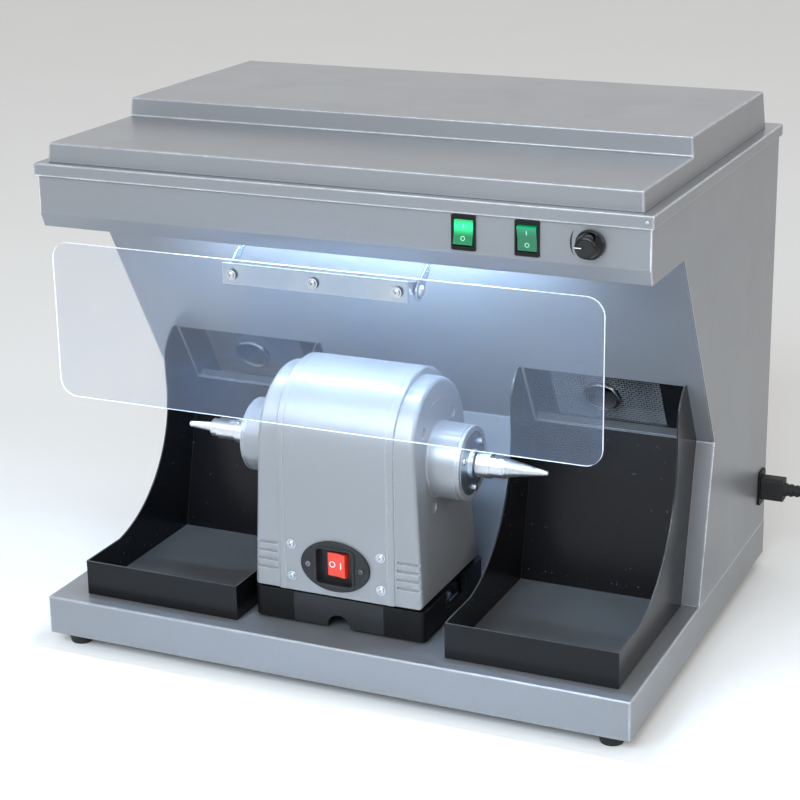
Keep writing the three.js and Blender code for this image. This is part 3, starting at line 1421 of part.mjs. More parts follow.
const [lightX, suctionX] = switchPlaces;
const rockerTilt = degrees(rocker.tilt);
add(controlGroup, 'switch_bezel_light', switchBezel(), glossBlack, [lightX, -headerY, 0]);
add(controlGroup, 'switch_bezel_suction', switchBezel(), glossBlack, [suctionX, -headerY, 0]);
add(controlGroup, 'light_rocker', rockerCap(rocker), greenLens, [lightX, rocker.pivotDepth, 0], [-rockerTilt, 0, 0]);
add(controlGroup, 'suction_rocker', rockerCap(rocker), greenLens, [suctionX, rocker.pivotDepth, 0], [rockerTilt, 0, 0]);
add(controlGroup, 'speed_control', speedControl(), blackPlastic, [knobX, 0, 0]);
add(controlGroup, 'control_shaft', controlShaft(), brightSteel, [knobX, 0, 0]);
add(controlGroup, 'speed_knob', speedKnob(), glossBlack, [knobX, 0, 0]);
add(cabinetGroup, 'lamp_tube', lampTube(), whiteGlass);
add(cabinetGroup, 'lamp_holder', lampHolder(), blackPlastic);

add(shieldGroup, 'shield_hanger', shieldHanger(), zincSteel);
add(shieldGroup, 'shield_channel', shieldChannel(), zincSteel);
add(shieldGroup, 'shield', shieldGlass(), clearPlastic);
add(shieldGroup, 'pivot_screw_left', pivotScrew(), brightSteel, [0, 0, 0], halfTurn);
add(shieldGroup, 'pivot_screw_right', pivotScrew(), brightSteel);

add(motorGroup, 'plinth', plinthBody(), blackPlastic);
add(motorGroup, 'plinth_insert', plinthInsert(), blackPlastic);
add(motorGroup, 'motor_cover', motorCover(), motorPaint);
add(motorGroup, 'end_casting_left', mirrored(endCasting()), motorPaint);
add(motorGroup, 'end_casting_right', endCasting(), motorPaint);
add(motorGroup, 'switch_plate', switchPlate(), blackPlastic);
const motorRockerY = coverY - gap - plate.thickness + cup.depth + motorRocker.pivotDepth;
const motorRockerGroup = subgroup([0, motorRockerY, plateZ]);
motorRockerGroup.rotation.y = Math.PI / 2;
add(motorRockerGroup, 'motor_rocker', rockerCap(motorRocker), redPlastic, [0, 0, 0], [degrees(motorRocker.tilt), 0, 0]);
add(spindleGroup, 'bearing_cap_left', bearingCap(), zincSteel, [0, 0, 0], halfTurn);
add(spindleGroup, 'bearing_cap_right', bearingCap(), zincSteel);
add(spindleGroup, 'bearing_left', ballBearing(), brightSteel, [0, 0, 0], halfTurn);
add(spindleGroup, 'bearing_right', ballBearing(), brightSteel);
add(spindleGroup, 'stator', statorCore(), coreSteel);
add(spindleGroup, 'rotor_shaft', rotorShaft(), brightSteel);
add(spindleGroup, 'spindle_left', leftSpindle(), brightSteel, [0, 0, 0], halfTurn);
add(spindleGroup, 'spindle_right', rightSpindle(), brightSteel);

add(mainsGroup, 'power_inlet', powerInlet(), blackPlastic);
add(mainsGroup, 'cord_connector', cordConnector(), rubber);
add(mainsGroup, 'cord_run', cordRun(), rubber);
add(mainsGroup, 'cord_coil', cordCoil(), rubber);
add(mainsGroup, 'mains_plug', mainsPlug(), rubber);

console.log(`least gap between passes of the coil: ${coilSelfGap().toFixed(2)} mm`);

export default part;
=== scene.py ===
"""The finish and the fine pieces of a bench suction cabinet with a double-ended polishing motor."""

import json
import math

import bmesh
import bpy
from mathutils import Matrix, Vector


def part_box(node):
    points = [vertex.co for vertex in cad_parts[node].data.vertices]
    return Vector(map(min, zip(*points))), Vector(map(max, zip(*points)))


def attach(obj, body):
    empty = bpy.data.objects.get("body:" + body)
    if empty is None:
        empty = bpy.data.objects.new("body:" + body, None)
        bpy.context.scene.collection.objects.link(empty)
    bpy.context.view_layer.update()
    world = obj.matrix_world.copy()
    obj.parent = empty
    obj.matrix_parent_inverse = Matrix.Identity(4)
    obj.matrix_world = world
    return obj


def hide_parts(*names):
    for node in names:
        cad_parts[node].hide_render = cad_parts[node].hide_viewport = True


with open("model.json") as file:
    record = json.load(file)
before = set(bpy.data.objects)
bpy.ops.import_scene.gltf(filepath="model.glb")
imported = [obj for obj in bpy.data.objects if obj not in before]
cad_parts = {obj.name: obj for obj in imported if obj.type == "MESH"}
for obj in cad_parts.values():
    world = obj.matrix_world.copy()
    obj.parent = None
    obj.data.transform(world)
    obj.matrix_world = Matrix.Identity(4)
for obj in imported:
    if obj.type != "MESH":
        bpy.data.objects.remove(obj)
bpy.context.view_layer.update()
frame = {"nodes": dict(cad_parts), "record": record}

mm = 0.001
RIGHT = Vector((1, 0, 0))
BACK = Vector((0, 1, 0))
UP = Vector((0, 0, 1))


# Camera

camera_azimuth = math.radians(23.567)
camera_elevation = math.radians(16.9952)
camera_roll = math.radians(-0.6109)
camera_place = Vector((840.79, -1892.09, 935.0)) * mm
camera_lens = 90.36
camera_shift = (-0.04, -0.07)


def place_camera():
    backward = Vector((
        math.sin(camera_azimuth) * math.cos(camera_elevation),
        -math.cos(camera_azimuth) * math.cos(camera_elevation),
        math.sin(camera_elevation),
    ))
    level = UP.cross(backward).normalized()
    upright = backward.cross(level)
    right = level * math.cos(camera_roll) + upright * math.sin(camera_roll)
    up = upright * math.cos(camera_roll) - level * math.sin(camera_roll)
    lens = bpy.data.cameras.new("photo_camera")
    lens.lens = camera_lens
    lens.sensor_width = 36
    lens.shift_x, lens.shift_y = camera_shift
    lens.clip_start, lens.clip_end = 0.05, 50
    camera = bpy.data.objects.new("photo_camera", lens)
    turn = Matrix((right, up, backward)).transposed().to_4x4()
    camera.matrix_world = Matrix.Translation(camera_place) @ turn
    bpy.context.scene.collection.objects.link(camera)
    bpy.context.scene.camera = camera


# Modelling helpers

merge_reach = mm / 100
flat_turn = math.radians(0.2)
broad_face = 1500e-6
least_fold = 15


def select_only(piece):
    bpy.ops.object.select_all(action="DESELECT")
    bpy.context.view_layer.objects.active = piece
    piece.select_set(True)


def only(piece):
    """Selects one piece and nothing else, in object mode."""
    if bpy.context.object is not None and bpy.context.object.mode == "EDIT":
        bpy.ops.object.mode_set(mode="OBJECT")
    select_only(piece)


def select_whole():
    bpy.ops.mesh.select_all(action="SELECT")


def edit(piece):
    only(piece)
    bpy.ops.object.mode_set(mode="EDIT")
    select_whole()


def done(piece):
    """Back to object mode, with the piece's place in its mesh."""
    only(piece)
    bpy.ops.object.transform_apply(location=True, rotation=True, scale=True)
    return piece


def pick(piece, kind, test):
    """Selects the faces, edges or verts that pass a test, of the piece that is being edited."""
    bpy.ops.mesh.select_mode(type={"faces": "FACE", "edges": "EDGE", "verts": "VERT"}[kind])
    bpy.ops.mesh.select_all(action="DESELECT")
    shape = bmesh.from_edit_mesh(piece.data)
    for item in getattr(shape, kind):
        if test(item):
            item.select_set(True)
    bmesh.update_edit_mesh(piece.data)


def mark_picked(piece):
    """Gives the picked faces the piece's second material."""
    for face in bmesh.from_edit_mesh(piece.data).faces:
        face.material_index = int(face.select)


def named(name):
    piece = bpy.context.object
    piece.name = piece.data.name = name
    return piece


def begin(name, point):
    """A new piece that is one vertex, being edited."""
    if bpy.context.object is not None and bpy.context.object.mode == "EDIT":
        bpy.ops.object.mode_set(mode="OBJECT")
    bpy.ops.object.select_all(action="DESELECT")
    bpy.ops.mesh.primitive_plane_add(size=mm, location=point)
    piece = done(named(name))
    edit(piece)
    bpy.ops.mesh.select_mode(type="VERT")
    bpy.ops.mesh.merge(type="CENTER")
    return piece


def push(way):
    """Extrudes what is selected along a vector."""
    bpy.ops.mesh.extrude_region_move(TRANSFORM_OT_translate={"value": way})


def draw_to(here, there):
    """Extrudes what is selected from one point to another and returns the new point."""
    push(Vector(there) - Vector(here))
    return there


def draw_through(points):
    """Draws an edge through all the points after the first, which is where the piece began."""
    here = points[0]
    for there in points[1:]:
        here = draw_to(here, there)


def bevel_edges(width, segments):
    bpy.ops.mesh.bevel(offset=width, segments=segments, affect="EDGES")


def face_outward():
    select_whole()
    bpy.ops.mesh.normals_make_consistent(inside=False)


def apply(piece, kind, **values):
    """Adds a modifier, sets its values and applies it."""
    only(piece)
    modifier = piece.modifiers.new(kind.lower(), kind)
    for key, value in values.items():
        setattr(modifier, key, value)
    bpy.ops.object.modifier_apply(modifier=modifier.name)
    return piece


def rounded(piece, width, segments, angle=30):
    return apply(
        piece, "BEVEL", width=width, segments=segments, limit_method="ANGLE",
        angle_limit=math.radians(angle), use_clamp_overlap=True, miter_outer="MITER_ARC")


def combine(piece, operation, others):
    for other in others:
        apply(piece, "BOOLEAN", operation=operation, solver="EXACT", object=other)
        bpy.data.objects.remove(other)
    return piece


def cut(piece, *cutters):
    return combine(piece, "DIFFERENCE", cutters)


def joined(piece, *others):
    return combine(piece, "UNION", others)


def lump(name, low, high):
    """A block between two corners."""
    low, high = Vector(low), Vector(high)
    bpy.ops.object.select_all(action="DESELECT")
    bpy.ops.mesh.primitive_cube_add(size=1, location=(low + high) / 2, scale=high - low)
    return done(named(name))


def slab(name, centre, across, up, width, height, radius, depth, segments=8):
    """A rounded rectangle, standing square to across and up, extruded by depth along across x up."""
    across, up = Vector(across), Vector(up)
    out = across.cross(up)
    bpy.ops.object.select_all(action="DESELECT")
    bpy.ops.mesh.primitive_plane_add(size=1, location=(0, 0, 0))
    piece = named(name)
    piece.scale = (width, height, 1)
    done(piece)
    edit(piece)
    if radius:
        bpy.ops.mesh.bevel(offset=radius, segments=segments, affect="VERTICES")
    select_whole()
    push((0, 0, depth))
    face_outward()
    only(piece)
    turn = Matrix((across, up, out)).transposed().to_4x4()
    piece.data.transform(Matrix.Translation(Vector(centre)) @ turn)
    return piece


def sized(*points):
    """Profile points given in millimetres."""
    return [(along * mm, radius * mm) for along, radius in points]


def turned(name, centre, axis, profile, steps=96):
    """A round piece, spun about an axis from (place along it, radius) points."""
    axis = Vector(axis)
    side = axis.orthogonal().normalized()
    centre = Vector(centre)
    points = [centre + axis * along + side * radius for along, radius in profile]
    piece = begin(name, points[0])
    draw_through(points)
    select_whole()
    bpy.ops.mesh.spin(steps=steps, angle=math.tau, center=centre, axis=axis)
    select_whole()
    bpy.ops.mesh.remove_doubles(threshold=merge_reach)
    bpy.ops.mesh.normals_make_consistent(inside=False)
    only(piece)
    return piece


def twin_of(source, name):
    """A loose copy of a piece, with its own mesh and nothing that ties it to a body."""
    only(source)
    bpy.ops.object.duplicate()
    twin = named(name)
    for key in list(twin.keys()):
        del twin[key]
    twin.parent = None
    return twin


def dressed(source, name, fold, edge, fold_segments=4):
    """A copy of a node's mesh, merged, with its broad folds and then its other edges rounded."""
    piece = twin_of(frame["nodes"][source], name)
    piece.data.materials.clear()
    edit(piece)
    bpy.ops.mesh.customdata_custom_splitnormals_clear()
    bpy.ops.mesh.remove_doubles(threshold=merge_reach)
    bpy.ops.mesh.dissolve_limited(angle_limit=flat_turn)
    if fold:
        pick(piece, "edges", lambda line: len(line.link_faces) == 2 and line.is_convex
             and math.degrees(line.calc_face_angle(0)) > least_fold
             and min(face.calc_area() for face in line.link_faces) > broad_face)
        bevel_edges(fold, fold_segments)
    only(piece)
    return rounded(piece, edge, 2, 32)


def finish(piece, body, materials, stands_for=(), smooth=32, even=True):
    """Smooths a piece, gives it its materials and body, and hides the parts that it stands for."""
    only(piece)
    bpy.ops.object.shade_smooth_by_angle(angle=math.radians(smooth), keep_sharp_edges=False)
    if even:
        apply(piece, "WEIGHTED_NORMAL", keep_sharp=True, weight=60)
    materials = materials if isinstance(materials, (list, tuple)) else [materials]
    marks = [face.material_index for face in piece.data.polygons]
    piece.data.materials.clear()
    for material in materials:
        piece.data.materials.append(material)
    for face, mark in zip(piece.data.polygons, marks):
        face.material_index = min(mark, len(materials) - 1)
    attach(piece, body)
    if stands_for:
        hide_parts(*stands_for)
    return piece


def dress(source, name, body, materials, edge, fold=0, fold_segments=4):
    """A node's own shape with rounded edges, finished to stand for it."""
    piece = dressed(source, name, fold, edge, fold_segments)
    return finish(piece, body, materials, [source])


def copy_at(piece, name, place):
    """A copy of a piece with its own mesh, carried by a matrix."""
    twin = twin_of(piece, name)
    twin.matrix_world = Matrix.Identity(4)
    twin.data.transform(place)
    if place.determinant() < 0:
        twin.data.flip_normals()
    return twin


MIRROR = Matrix.Diagonal((-1, 1, 1, 1))


# Cord, laid first with the camera

cord_radius = 3.5 * mm
cord_route = [
    (387.4, 224, 105), (397, 224, 104.7), (413, 224, 99), (429, 224, 85), (442, 224, 66),
    (454, 224, 46), (467, 223.5, 27), (482, 221, 13), (499, 214, 6), (515, 202, 3.8),
    (526, 188, 3.6), (532.5, 172, 3.6), (535, 163, 3.6), (535, 157.3, 3.6),
]
coil_centre = (484, 150)
coil_radius = 51
coil_pitch = 7.5
coil_turns = 5.5
coil_rise = 7.7
coil_low = 3.6
climb_turns = 0.5
steps_per_turn = 48
steps_per_point = 8


def route_points(points):
    """A smooth line through the points, that gives each gap the square root of its length as time."""
    points = [Vector(point) for point in points]
    points = [points[0] * 2 - points[1], *points, points[-1] * 2 - points[-2]]
    line = []
    for a, b, c, d in zip(points, points[1:], points[2:], points[3:]):
        t1 = (b - a).length ** 0.5
        t2 = t1 + (c - b).length ** 0.5
        t3 = t2 + (d - c).length ** 0.5
        for k in range(steps_per_point):
            t = t1 + (t2 - t1) * k / steps_per_point
            ab = a * (t1 - t) / t1 + b * t / t1
            bc = b * (t2 - t) / (t2 - t1) + c * (t - t1) / (t2 - t1)
            cd = c * (t3 - t) / (t3 - t2) + d * (t - t2) / (t3 - t2)
            first = ab * (t2 - t) / t2 + bc * t / t2
            second = bc * (t3 - t) / (t3 - t1) + cd * (t - t1) / (t3 - t1)
            line.append(first * (t2 - t) / (t2 - t1) + second * (t - t1) / (t2 - t1))
    return [*line, points[-2]]


def coil_points():
    """In along the floor, up a layer at the middle and out again on top."""
    middle = coil_turns / 2
    line = []
    for k in range(int(coil_turns * steps_per_turn) + 1):
        turn = k / steps_per_turn
        radius = coil_radius - coil_pitch * (middle - abs(turn - middle))
        climb = min(max((turn - middle) / climb_turns + 0.5, 0), 1)
        angle = -turn * math.tau
        line.append(Vector((
            coil_centre[0] + radius * math.cos(angle),
            coil_centre[1] + radius * math.sin(angle),
            coil_low + coil_rise * climb,
        )))
    return [*line, line[-1] + Vector((0, 7, 0))]


def lay_cord():
    line = [point * mm for point in [*route_points(cord_route), *coil_points()]]
    curve = bpy.data.curves.new("mains_lead", "CURVE")
    curve.dimensions = "3D"
    curve.bevel_depth = cord_radius
    curve.bevel_resolution = 5
    curve.use_fill_caps = True
    spline = curve.splines.new("POLY")
    spline.points.add(len(line) - 1)
    for knot, point in zip(spline.points, line):
        knot.co = (*point, 1)
    lead = bpy.data.objects.new("mains_lead", curve)
    bpy.context.scene.collection.objects.link(lead)
    select_only(lead)
    bpy.ops.object.convert(target="MESH")
    bpy.ops.object.shade_smooth()
    length = sum((b - a).length for a, b in zip(line, line[1:]))
    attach(lead, "cabinet")
    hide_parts("cord_run", "cord_coil")
    return lead, line, length


place_camera()
lead, lead_line, lead_length = lay_cord()


# Shader helpers


def linear(level):
    level /= 255
    return level / 12.92 if level <= 0.04045 else ((level + 0.055) / 1.055) ** 2.4


def rgb(red, green, blue):
    """A screen colour as Blender's linear numbers."""
    return linear(red), linear(green), linear(blue)


def feed(tree, sockets, values):
    """Gives sockets their values, or links them to other nodes' sockets."""
    for key, value in values.items():
        if isinstance(value, bpy.types.NodeSocket):
            tree.links.new(value, sockets[key])
        else:
            sockets[key].default_value = value


def node(tree, kind, inputs=None, **settings):
    """Adds a shader node, sets it and feeds its inputs with values or sockets."""
    made = tree.nodes.new("ShaderNode" + kind)
    for key, value in settings.items():
        setattr(made, key, value)
    feed(tree, made.inputs, inputs or {})
    return made


def use(tree, group, **inputs):
    """Adds a node group and returns its outputs."""
    made = node(tree, "Group", node_tree=group)
    feed(tree, made.inputs, {key.replace("_", " "): value for key, value in inputs.items()})
    return made.outputs


def math_node(tree, operation, a, b=0.0, clamp=False):
    return node(tree, "Math", {0: a, 1: b}, operation=operation, use_clamp=clamp).outputs[0]


def times(tree, a, b, clamp=False):
    return math_node(tree, "MULTIPLY", a, b, clamp)


def less(tree, a, b):
    return math_node(tree, "SUBTRACT", a, b)


def mix_colour(tree, share, first, second, blend="MIX"):
    def full(value):
        return value if isinstance(value, bpy.types.NodeSocket) else (*value[:3], 1)
    inputs = {0: share, 6: full(first), 7: full(second)}
    return node(tree, "Mix", inputs, data_type="RGBA", blend_type=blend).outputs[2]


def remap(tree, value, low, high, to_low, to_high):
    return node(tree, "MapRange", {0: value, 1: low, 2: high, 3: to_low, 4: to_high}).outputs[0]


def noise(tree, place, scale, detail, **more):
    inputs = {"Vector": place, "Scale": scale, "Detail": detail, **more}
    return node(tree, "TexNoise", inputs).outputs["Fac"]


def part_of(tree, vector, axis):
    return node(tree, "SeparateXYZ", {0: vector}).outputs[axis]


def place_of(tree, centre=(0, 0, 0)):
    """Object coordinates, moved so that a point is at zero."""
    spot = node(tree, "TexCoord").outputs["Object"]
    return node(tree, "Mapping", {"Vector": spot, "Location": centre}, vector_type="TEXTURE").outputs[0]


def effect(name, inputs, **outputs):
    """An empty node group with named sockets, its nodes' tree and its two ends."""
    group = bpy.data.node_groups.new(name, "ShaderNodeTree")
    group.interface.new_socket(name="Place", in_out="INPUT", socket_type="NodeSocketVector")
    for label, value in inputs.items():
        socket = group.interface.new_socket(name=label, in_out="INPUT", socket_type="NodeSocketFloat")
        socket.default_value = value
    for label, kind in outputs.items():
        group.interface.new_socket(name=label, in_out="OUTPUT", socket_type="NodeSocket" + kind)
    given = group.nodes.new("NodeGroupInput").outputs
    return group, given, group.nodes.new("NodeGroupOutput").inputs


def edge_wear_and_highlight_effect():
    """Paint rubbed thin along edges, and a painted highlight on edges that face up or sideways, broken up by
    noise: 0 on flats and on edges that look down.
    """
    inputs = {"Width": 0.5 * mm, "Amount": 1.0, "Break Scale": 90.0}
    group, given, out = effect("edge_wear_and_highlight", inputs, Mask="Float")
    soft = node(group, "Bevel", {"Radius": given["Width"]}, samples=6).outputs[0]
    plain = node(group, "NewGeometry").outputs["Normal"]
    facing = node(group, "VectorMath", {0: soft, 1: plain}, operation="DOT_PRODUCT")
    turn = remap(group, facing.outputs["Value"], 0.998, 0.93, 0, 1)
    patch = noise(group, given["Place"], given["Break Scale"], 4.0, Roughness=0.65)
    broken = remap(group, patch, 0.36, 0.62, 0.45, 1)
    # Edges that look down get none of the painted highlight, as the light falls from above.
    broken = times(group, broken, remap(group, part_of(group, soft, 2), -0.35, -0.1, 0, 1))
    mask = times(group, times(group, turn, broken), given["Amount"], True)
    feed(group, out, {"Mask": mask})
    return group


def flake_effect():
    """The sparkle of metallic paint: tiny flakes of uneven brightness, on a slow drift of tone."""
    inputs = {"Flake Scale": 1500.0, "Flake Amount": 0.1, "Drift Amount": 0.05}
    group, given, out = effect("paint_flakes", inputs, Shade="Float", Rough="Float")
    flakes = node(group, "TexVoronoi", {"Vector": given["Place"], "Scale": given["Flake Scale"]})
    single = node(group, "SeparateColor", {"Color": flakes.outputs["Color"]}).outputs[0]
    uneven = less(group, single, 0.5)
    drift = less(group, noise(group, given["Place"], 5.0, 3.0), 0.5)
    tone = math_node(
        group, "ADD", times(group, uneven, given["Flake Amount"]), times(group, drift, given["Drift Amount"]))
    feed(group, out, {"Shade": math_node(group, "ADD", tone, 1.0), "Rough": times(group, uneven, 0.02)})
    return group


def handling_effect():
    """Smudges and wipe marks that only change how dull a surface is."""
    group, given, out = effect("handling_marks", {"Scale": 14.0, "Amount": 0.1}, Rough="Float")
    cloud = noise(group, given["Place"], given["Scale"], 6.0, Distortion=0.6)
    wiped = node(
        group, "Mapping", {"Vector": given["Place"], "Scale": (3.0, 60.0, 60.0)}, vector_type="POINT")
    streak = noise(group, wiped.outputs[0], 6.0, 3.0)
    both = math_node(group, "ADD", cloud, times(group, streak, 0.5))
    feed(group, out, {"Rough": times(group, less(group, both, 0.75), given["Amount"])})
    return group


def grain_effect():
    """A fine pebbled skin as a bump, such as spray paint's peel or a moulding's spark grain."""
    inputs = {"Scale": 900.0, "Depth": 0.02 * mm, "Strength": 0.3}
    group, given, out = effect("skin_grain", inputs, Normal="Vector")
    pebble = noise(group, given["Place"], given["Scale"], 2.0)
    bump = node(group, "Bump", {"Strength": given["Strength"], "Distance": given["Depth"], "Height": pebble})
    feed(group, out, {"Normal": bump.outputs[0]})
    return group


def dust_and_sheen_effect():
    """Polishing dust and painted sheen: a thin pale film on faces that look up, partly settled dust and
    partly a painted sheen of the light from above, with single specks everywhere.
    """
    inputs = {"Film": 0.2, "Specks": 0.5, "Speck Scale": 260.0}
    group, given, out = effect("settled_dust_and_sheen", inputs, Mask="Float")
    up = part_of(group, node(group, "NewGeometry").outputs["Normal"], 2)
    cloud = noise(group, given["Place"], 30.0, 5.0)
    film = times(group, remap(group, up, 0.4, 1, 0, 1), remap(group, cloud, 0.2, 0.8, 0.75, 1))
    film = times(group, film, given["Film"])
    spots = node(group, "TexVoronoi", {"Vector": given["Place"], "Scale": given["Speck Scale"]})
    size = node(group, "SeparateColor", {"Color": spots.outputs["Color"]}).outputs[1]
    reach = times(group, math_node(group, "POWER", size, 9.0), 0.22)
    dot = math_node(group, "LESS_THAN", spots.outputs["Distance"], reach)
    speck = times(group, dot, given["Specks"])
    feed(group, out, {"Mask": math_node(group, "MAXIMUM", film, speck)})
    return group


def lathe_effect():
    """Turning marks: fine rings about an axis through zero along X."""
    inputs = {"Ring Scale": 900.0, "Depth": 0.003 * mm}
    group, given, out = effect("turning_marks", inputs, Normal="Vector", Rough="Float")
    parts = node(group, "SeparateXYZ", {0: given["Place"]}).outputs
    across = node(group, "CombineXYZ", {0: 0.0, 1: parts[1], 2: parts[2]}).outputs[0]
    radius = node(group, "VectorMath", {0: across}, operation="LENGTH").outputs["Value"]
    ring = node(group, "CombineXYZ", {0: parts[0], 1: radius, 2: 0.0}).outputs[0]
    marks = noise(group, ring, given["Ring Scale"], 2.0)
    bump = node(group, "Bump", {"Strength": 0.25, "Distance": given["Depth"], "Height": marks})
    feed(group, out, {"Normal": bump.outputs[0], "Rough": times(group, less(group, marks, 0.5), 0.3)})
    return group


edge_wear_and_highlight = edge_wear_and_highlight_effect()
paint_flakes = flake_effect()
handling_marks = handling_effect()
skin_grain = grain_effect()
settled_dust_and_sheen = dust_and_sheen_effect()
turning_marks = lathe_effect()


# Materials

least_rough = 0.04


def material(name, **plain):
    """A new material and its tree and shader, with the values that are the same all over."""
    made = bpy.data.materials.new(name)
    made.use_nodes = True
    shader = made.node_tree.nodes["Principled BSDF"]
    feed(made.node_tree, shader.inputs, {key.replace("_", " "): value for key, value in plain.items()})
    return made, made.node_tree, shader


def rough_from(tree, shader, base, *changes):
    total = base
    for change in changes:
        total = math_node(tree, "ADD", total, change)
    feed(tree, shader.inputs, {"Roughness": math_node(tree, "MAXIMUM", total, least_rough)})


def skin_on(tree, shader, place, scale, depth, strength):
    skin = use(tree, skin_grain, Place=place, Scale=scale, Depth=depth, Strength=strength)
    feed(tree, shader.inputs, {"Normal": skin["Normal"]})


def smudged(tree, place, amount, **more):
    return use(tree, handling_marks, Place=place, Amount=amount, **more)["Rough"]


def worn_and_lit_at(tree, place, width, amount, **more):
    return use(tree, edge_wear_and_highlight, Place=place, Width=width, Amount=amount, **more)["Mask"]


def coloured(tree, shader, share, first, second, socket="Base Color"):
    feed(tree, shader.inputs, {socket: mix_colour(tree, share, first, second)})


def metallic_paint(name, colour, metallic, rough, worn_and_lit_colour, grain, flake, edge):
    made, tree, shader = material(name, Metallic=metallic)
    place = place_of(tree)
    flakes = use(tree, paint_flakes, Place=place, Flake_Amount=flake, Drift_Amount=0.06)
    # The pale colour along edges is mostly a painted highlight on the rounded folds, with some rubbed wear.
    worn_and_lit = worn_and_lit_at(tree, place, edge, 1.0)
    shade = node(tree, "CombineColor", dict.fromkeys(range(3), flakes["Shade"])).outputs[0]
    painted = mix_colour(tree, 1.0, colour, shade, "MULTIPLY")
    coloured(tree, shader, worn_and_lit, painted, worn_and_lit_colour)
    rough_from(tree, shader, rough, flakes["Rough"], smudged(tree, place, 0.12), times(tree, worn_and_lit, -0.1))
    skin_on(tree, shader, place, 420.0, grain, 0.2)
    return made


def gloss_sheet_paint():
    made, tree, shader = material("black_sheet_paint", Metallic=0.0, Specular_IOR_Level=0.23)
    place = place_of(tree)
    worn_and_lit = worn_and_lit_at(tree, place, 0.25 * mm, 0.45, Break_Scale=160.0)
    # The pale film on faces that look up is partly settled dust and partly a painted sheen of the light from
    # above.
    dust_and_sheen = use(tree, settled_dust_and_sheen, Place=place, Film=0.22, Specks=0.2)["Mask"]
    # The grey along the black sheet's edges is partly rubbed paint and partly a painted highlight.
    painted = mix_colour(tree, worn_and_lit, rgb(15, 15, 17), rgb(150, 152, 155))
    coloured(tree, shader, dust_and_sheen, painted, rgb(150, 150, 148))
    rough_from(tree, shader, 0.24, smudged(tree, place, 0.08), times(tree, dust_and_sheen, 0.5))
    skin_on(tree, shader, place, 700.0, 0.01 * mm, 0.3)
    return made


def moulding(name, colour, rough, grain_scale, grain_depth, wear_and_highlight_colour, wear_and_highlight, **plain):
    """A moulded plastic or rubber with its spark grain and lightly rubbed edges, which are also paler as a
    painted highlight where they face up or sideways.
    """
    made, tree, shader = material(name, Metallic=0.0, **plain)
    place = place_of(tree)
    worn_and_lit = worn_and_lit_at(tree, place, 0.5 * mm, wear_and_highlight, Break_Scale=140.0)
    darker, paler = (tuple(c * share for c in rgb(*colour)) for share in (0.85, 1.2))
    toned = mix_colour(tree, noise(tree, place, 40.0, 4.0), darker, paler)
    # The paler edge colour is partly rubbed wear and partly a painted highlight.
    coloured(tree, shader, worn_and_lit, toned, rgb(*wear_and_highlight_colour))
    rough_from(tree, shader, rough, smudged(tree, place, 0.15))
    skin_on(tree, shader, place, grain_scale, grain_depth, 0.5)
    return made


def plated_steel(name, colour, rough, tint, marks_at=None, ring_scale=2200.0):
    """Bare or plated steel, with a faint drift of tint, and turning marks where it was turned."""
    made, tree, shader = material(name, Metallic=1.0)
    place = place_of(tree)
    drift = remap(tree, noise(tree, place, 22.0, 5.0), 0.35, 0.65, 0, 1)
    coloured(tree, shader, drift, rgb(*colour), rgb(*tint))
    smudge = smudged(tree, place, 0.12, Scale=40.0)
    if marks_at is None:
        rough_from(tree, shader, rough, smudge)
        skin_on(tree, shader, place, 1600.0, 0.004 * mm, 0.3)
        return made
    marks = use(tree, turning_marks, Place=place_of(tree, marks_at), Ring_Scale=ring_scale)
    rough_from(tree, shader, rough, smudge, times(tree, marks["Rough"], 0.4))
    feed(tree, shader.inputs, {"Normal": marks["Normal"]})
    return made


def clear_sheet(name, colour, rough):
    """Clear acrylic with faint wipe marks, which lets the lamps' light through."""
    made, tree, shader = material(name, Transmission_Weight=1.0, IOR=1.47)
    place = place_of(tree)
    haze = noise(tree, place, 16.0, 6.0, Distortion=0.8)
    specks = use(tree, settled_dust_and_sheen, Place=place, Film=0.0, Specks=1.0, Speck_Scale=200.0)["Mask"]
    coloured(tree, shader, specks, colour, rgb(255, 255, 255))
    rough_from(tree, shader, rough, times(tree, less(tree, haze, 0.5), 0.05))
    veil = node(tree, "BsdfDiffuse", {"Color": (0.12, 0.4, 1.0, 1)}).outputs[0]
    veiled = remap(tree, haze, 0.3, 0.7, 0.015, 0.035)
    scuffed = node(tree, "MixShader", {0: veiled, 1: shader.outputs[0], 2: veil}).outputs[0]
    through = node(tree, "BsdfTransparent", {"Color": (0.94, 0.95, 0.96, 1)}).outputs[0]
    shadow = node(tree, "LightPath").outputs["Is Shadow Ray"]
    blended = node(tree, "MixShader", {0: shadow, 1: scuffed, 2: through}).outputs[0]
    feed(tree, tree.nodes["Material Output"].inputs, {"Surface": blended})
    return made


def glowing_sheet_edge():
    """The shield's sawn and polished edge, which gathers light, shown as a painted glow."""
    # The edge's emission is a painted glow, not a lamp.
    made, tree, shader = material("shield_edge_painted_glow", Transmission_Weight=0.4, IOR=1.47, Emission_Strength=0.8)
    saw = noise(tree, place_of(tree), 900.0, 3.0)
    coloured(tree, shader, saw, rgb(235, 242, 250), rgb(255, 255, 255))
    coloured(tree, shader, saw, rgb(190, 200, 215), rgb(225, 232, 240), "Emission Color")
    rough_from(tree, shader, 0.25, times(tree, saw, 0.15))
    return made


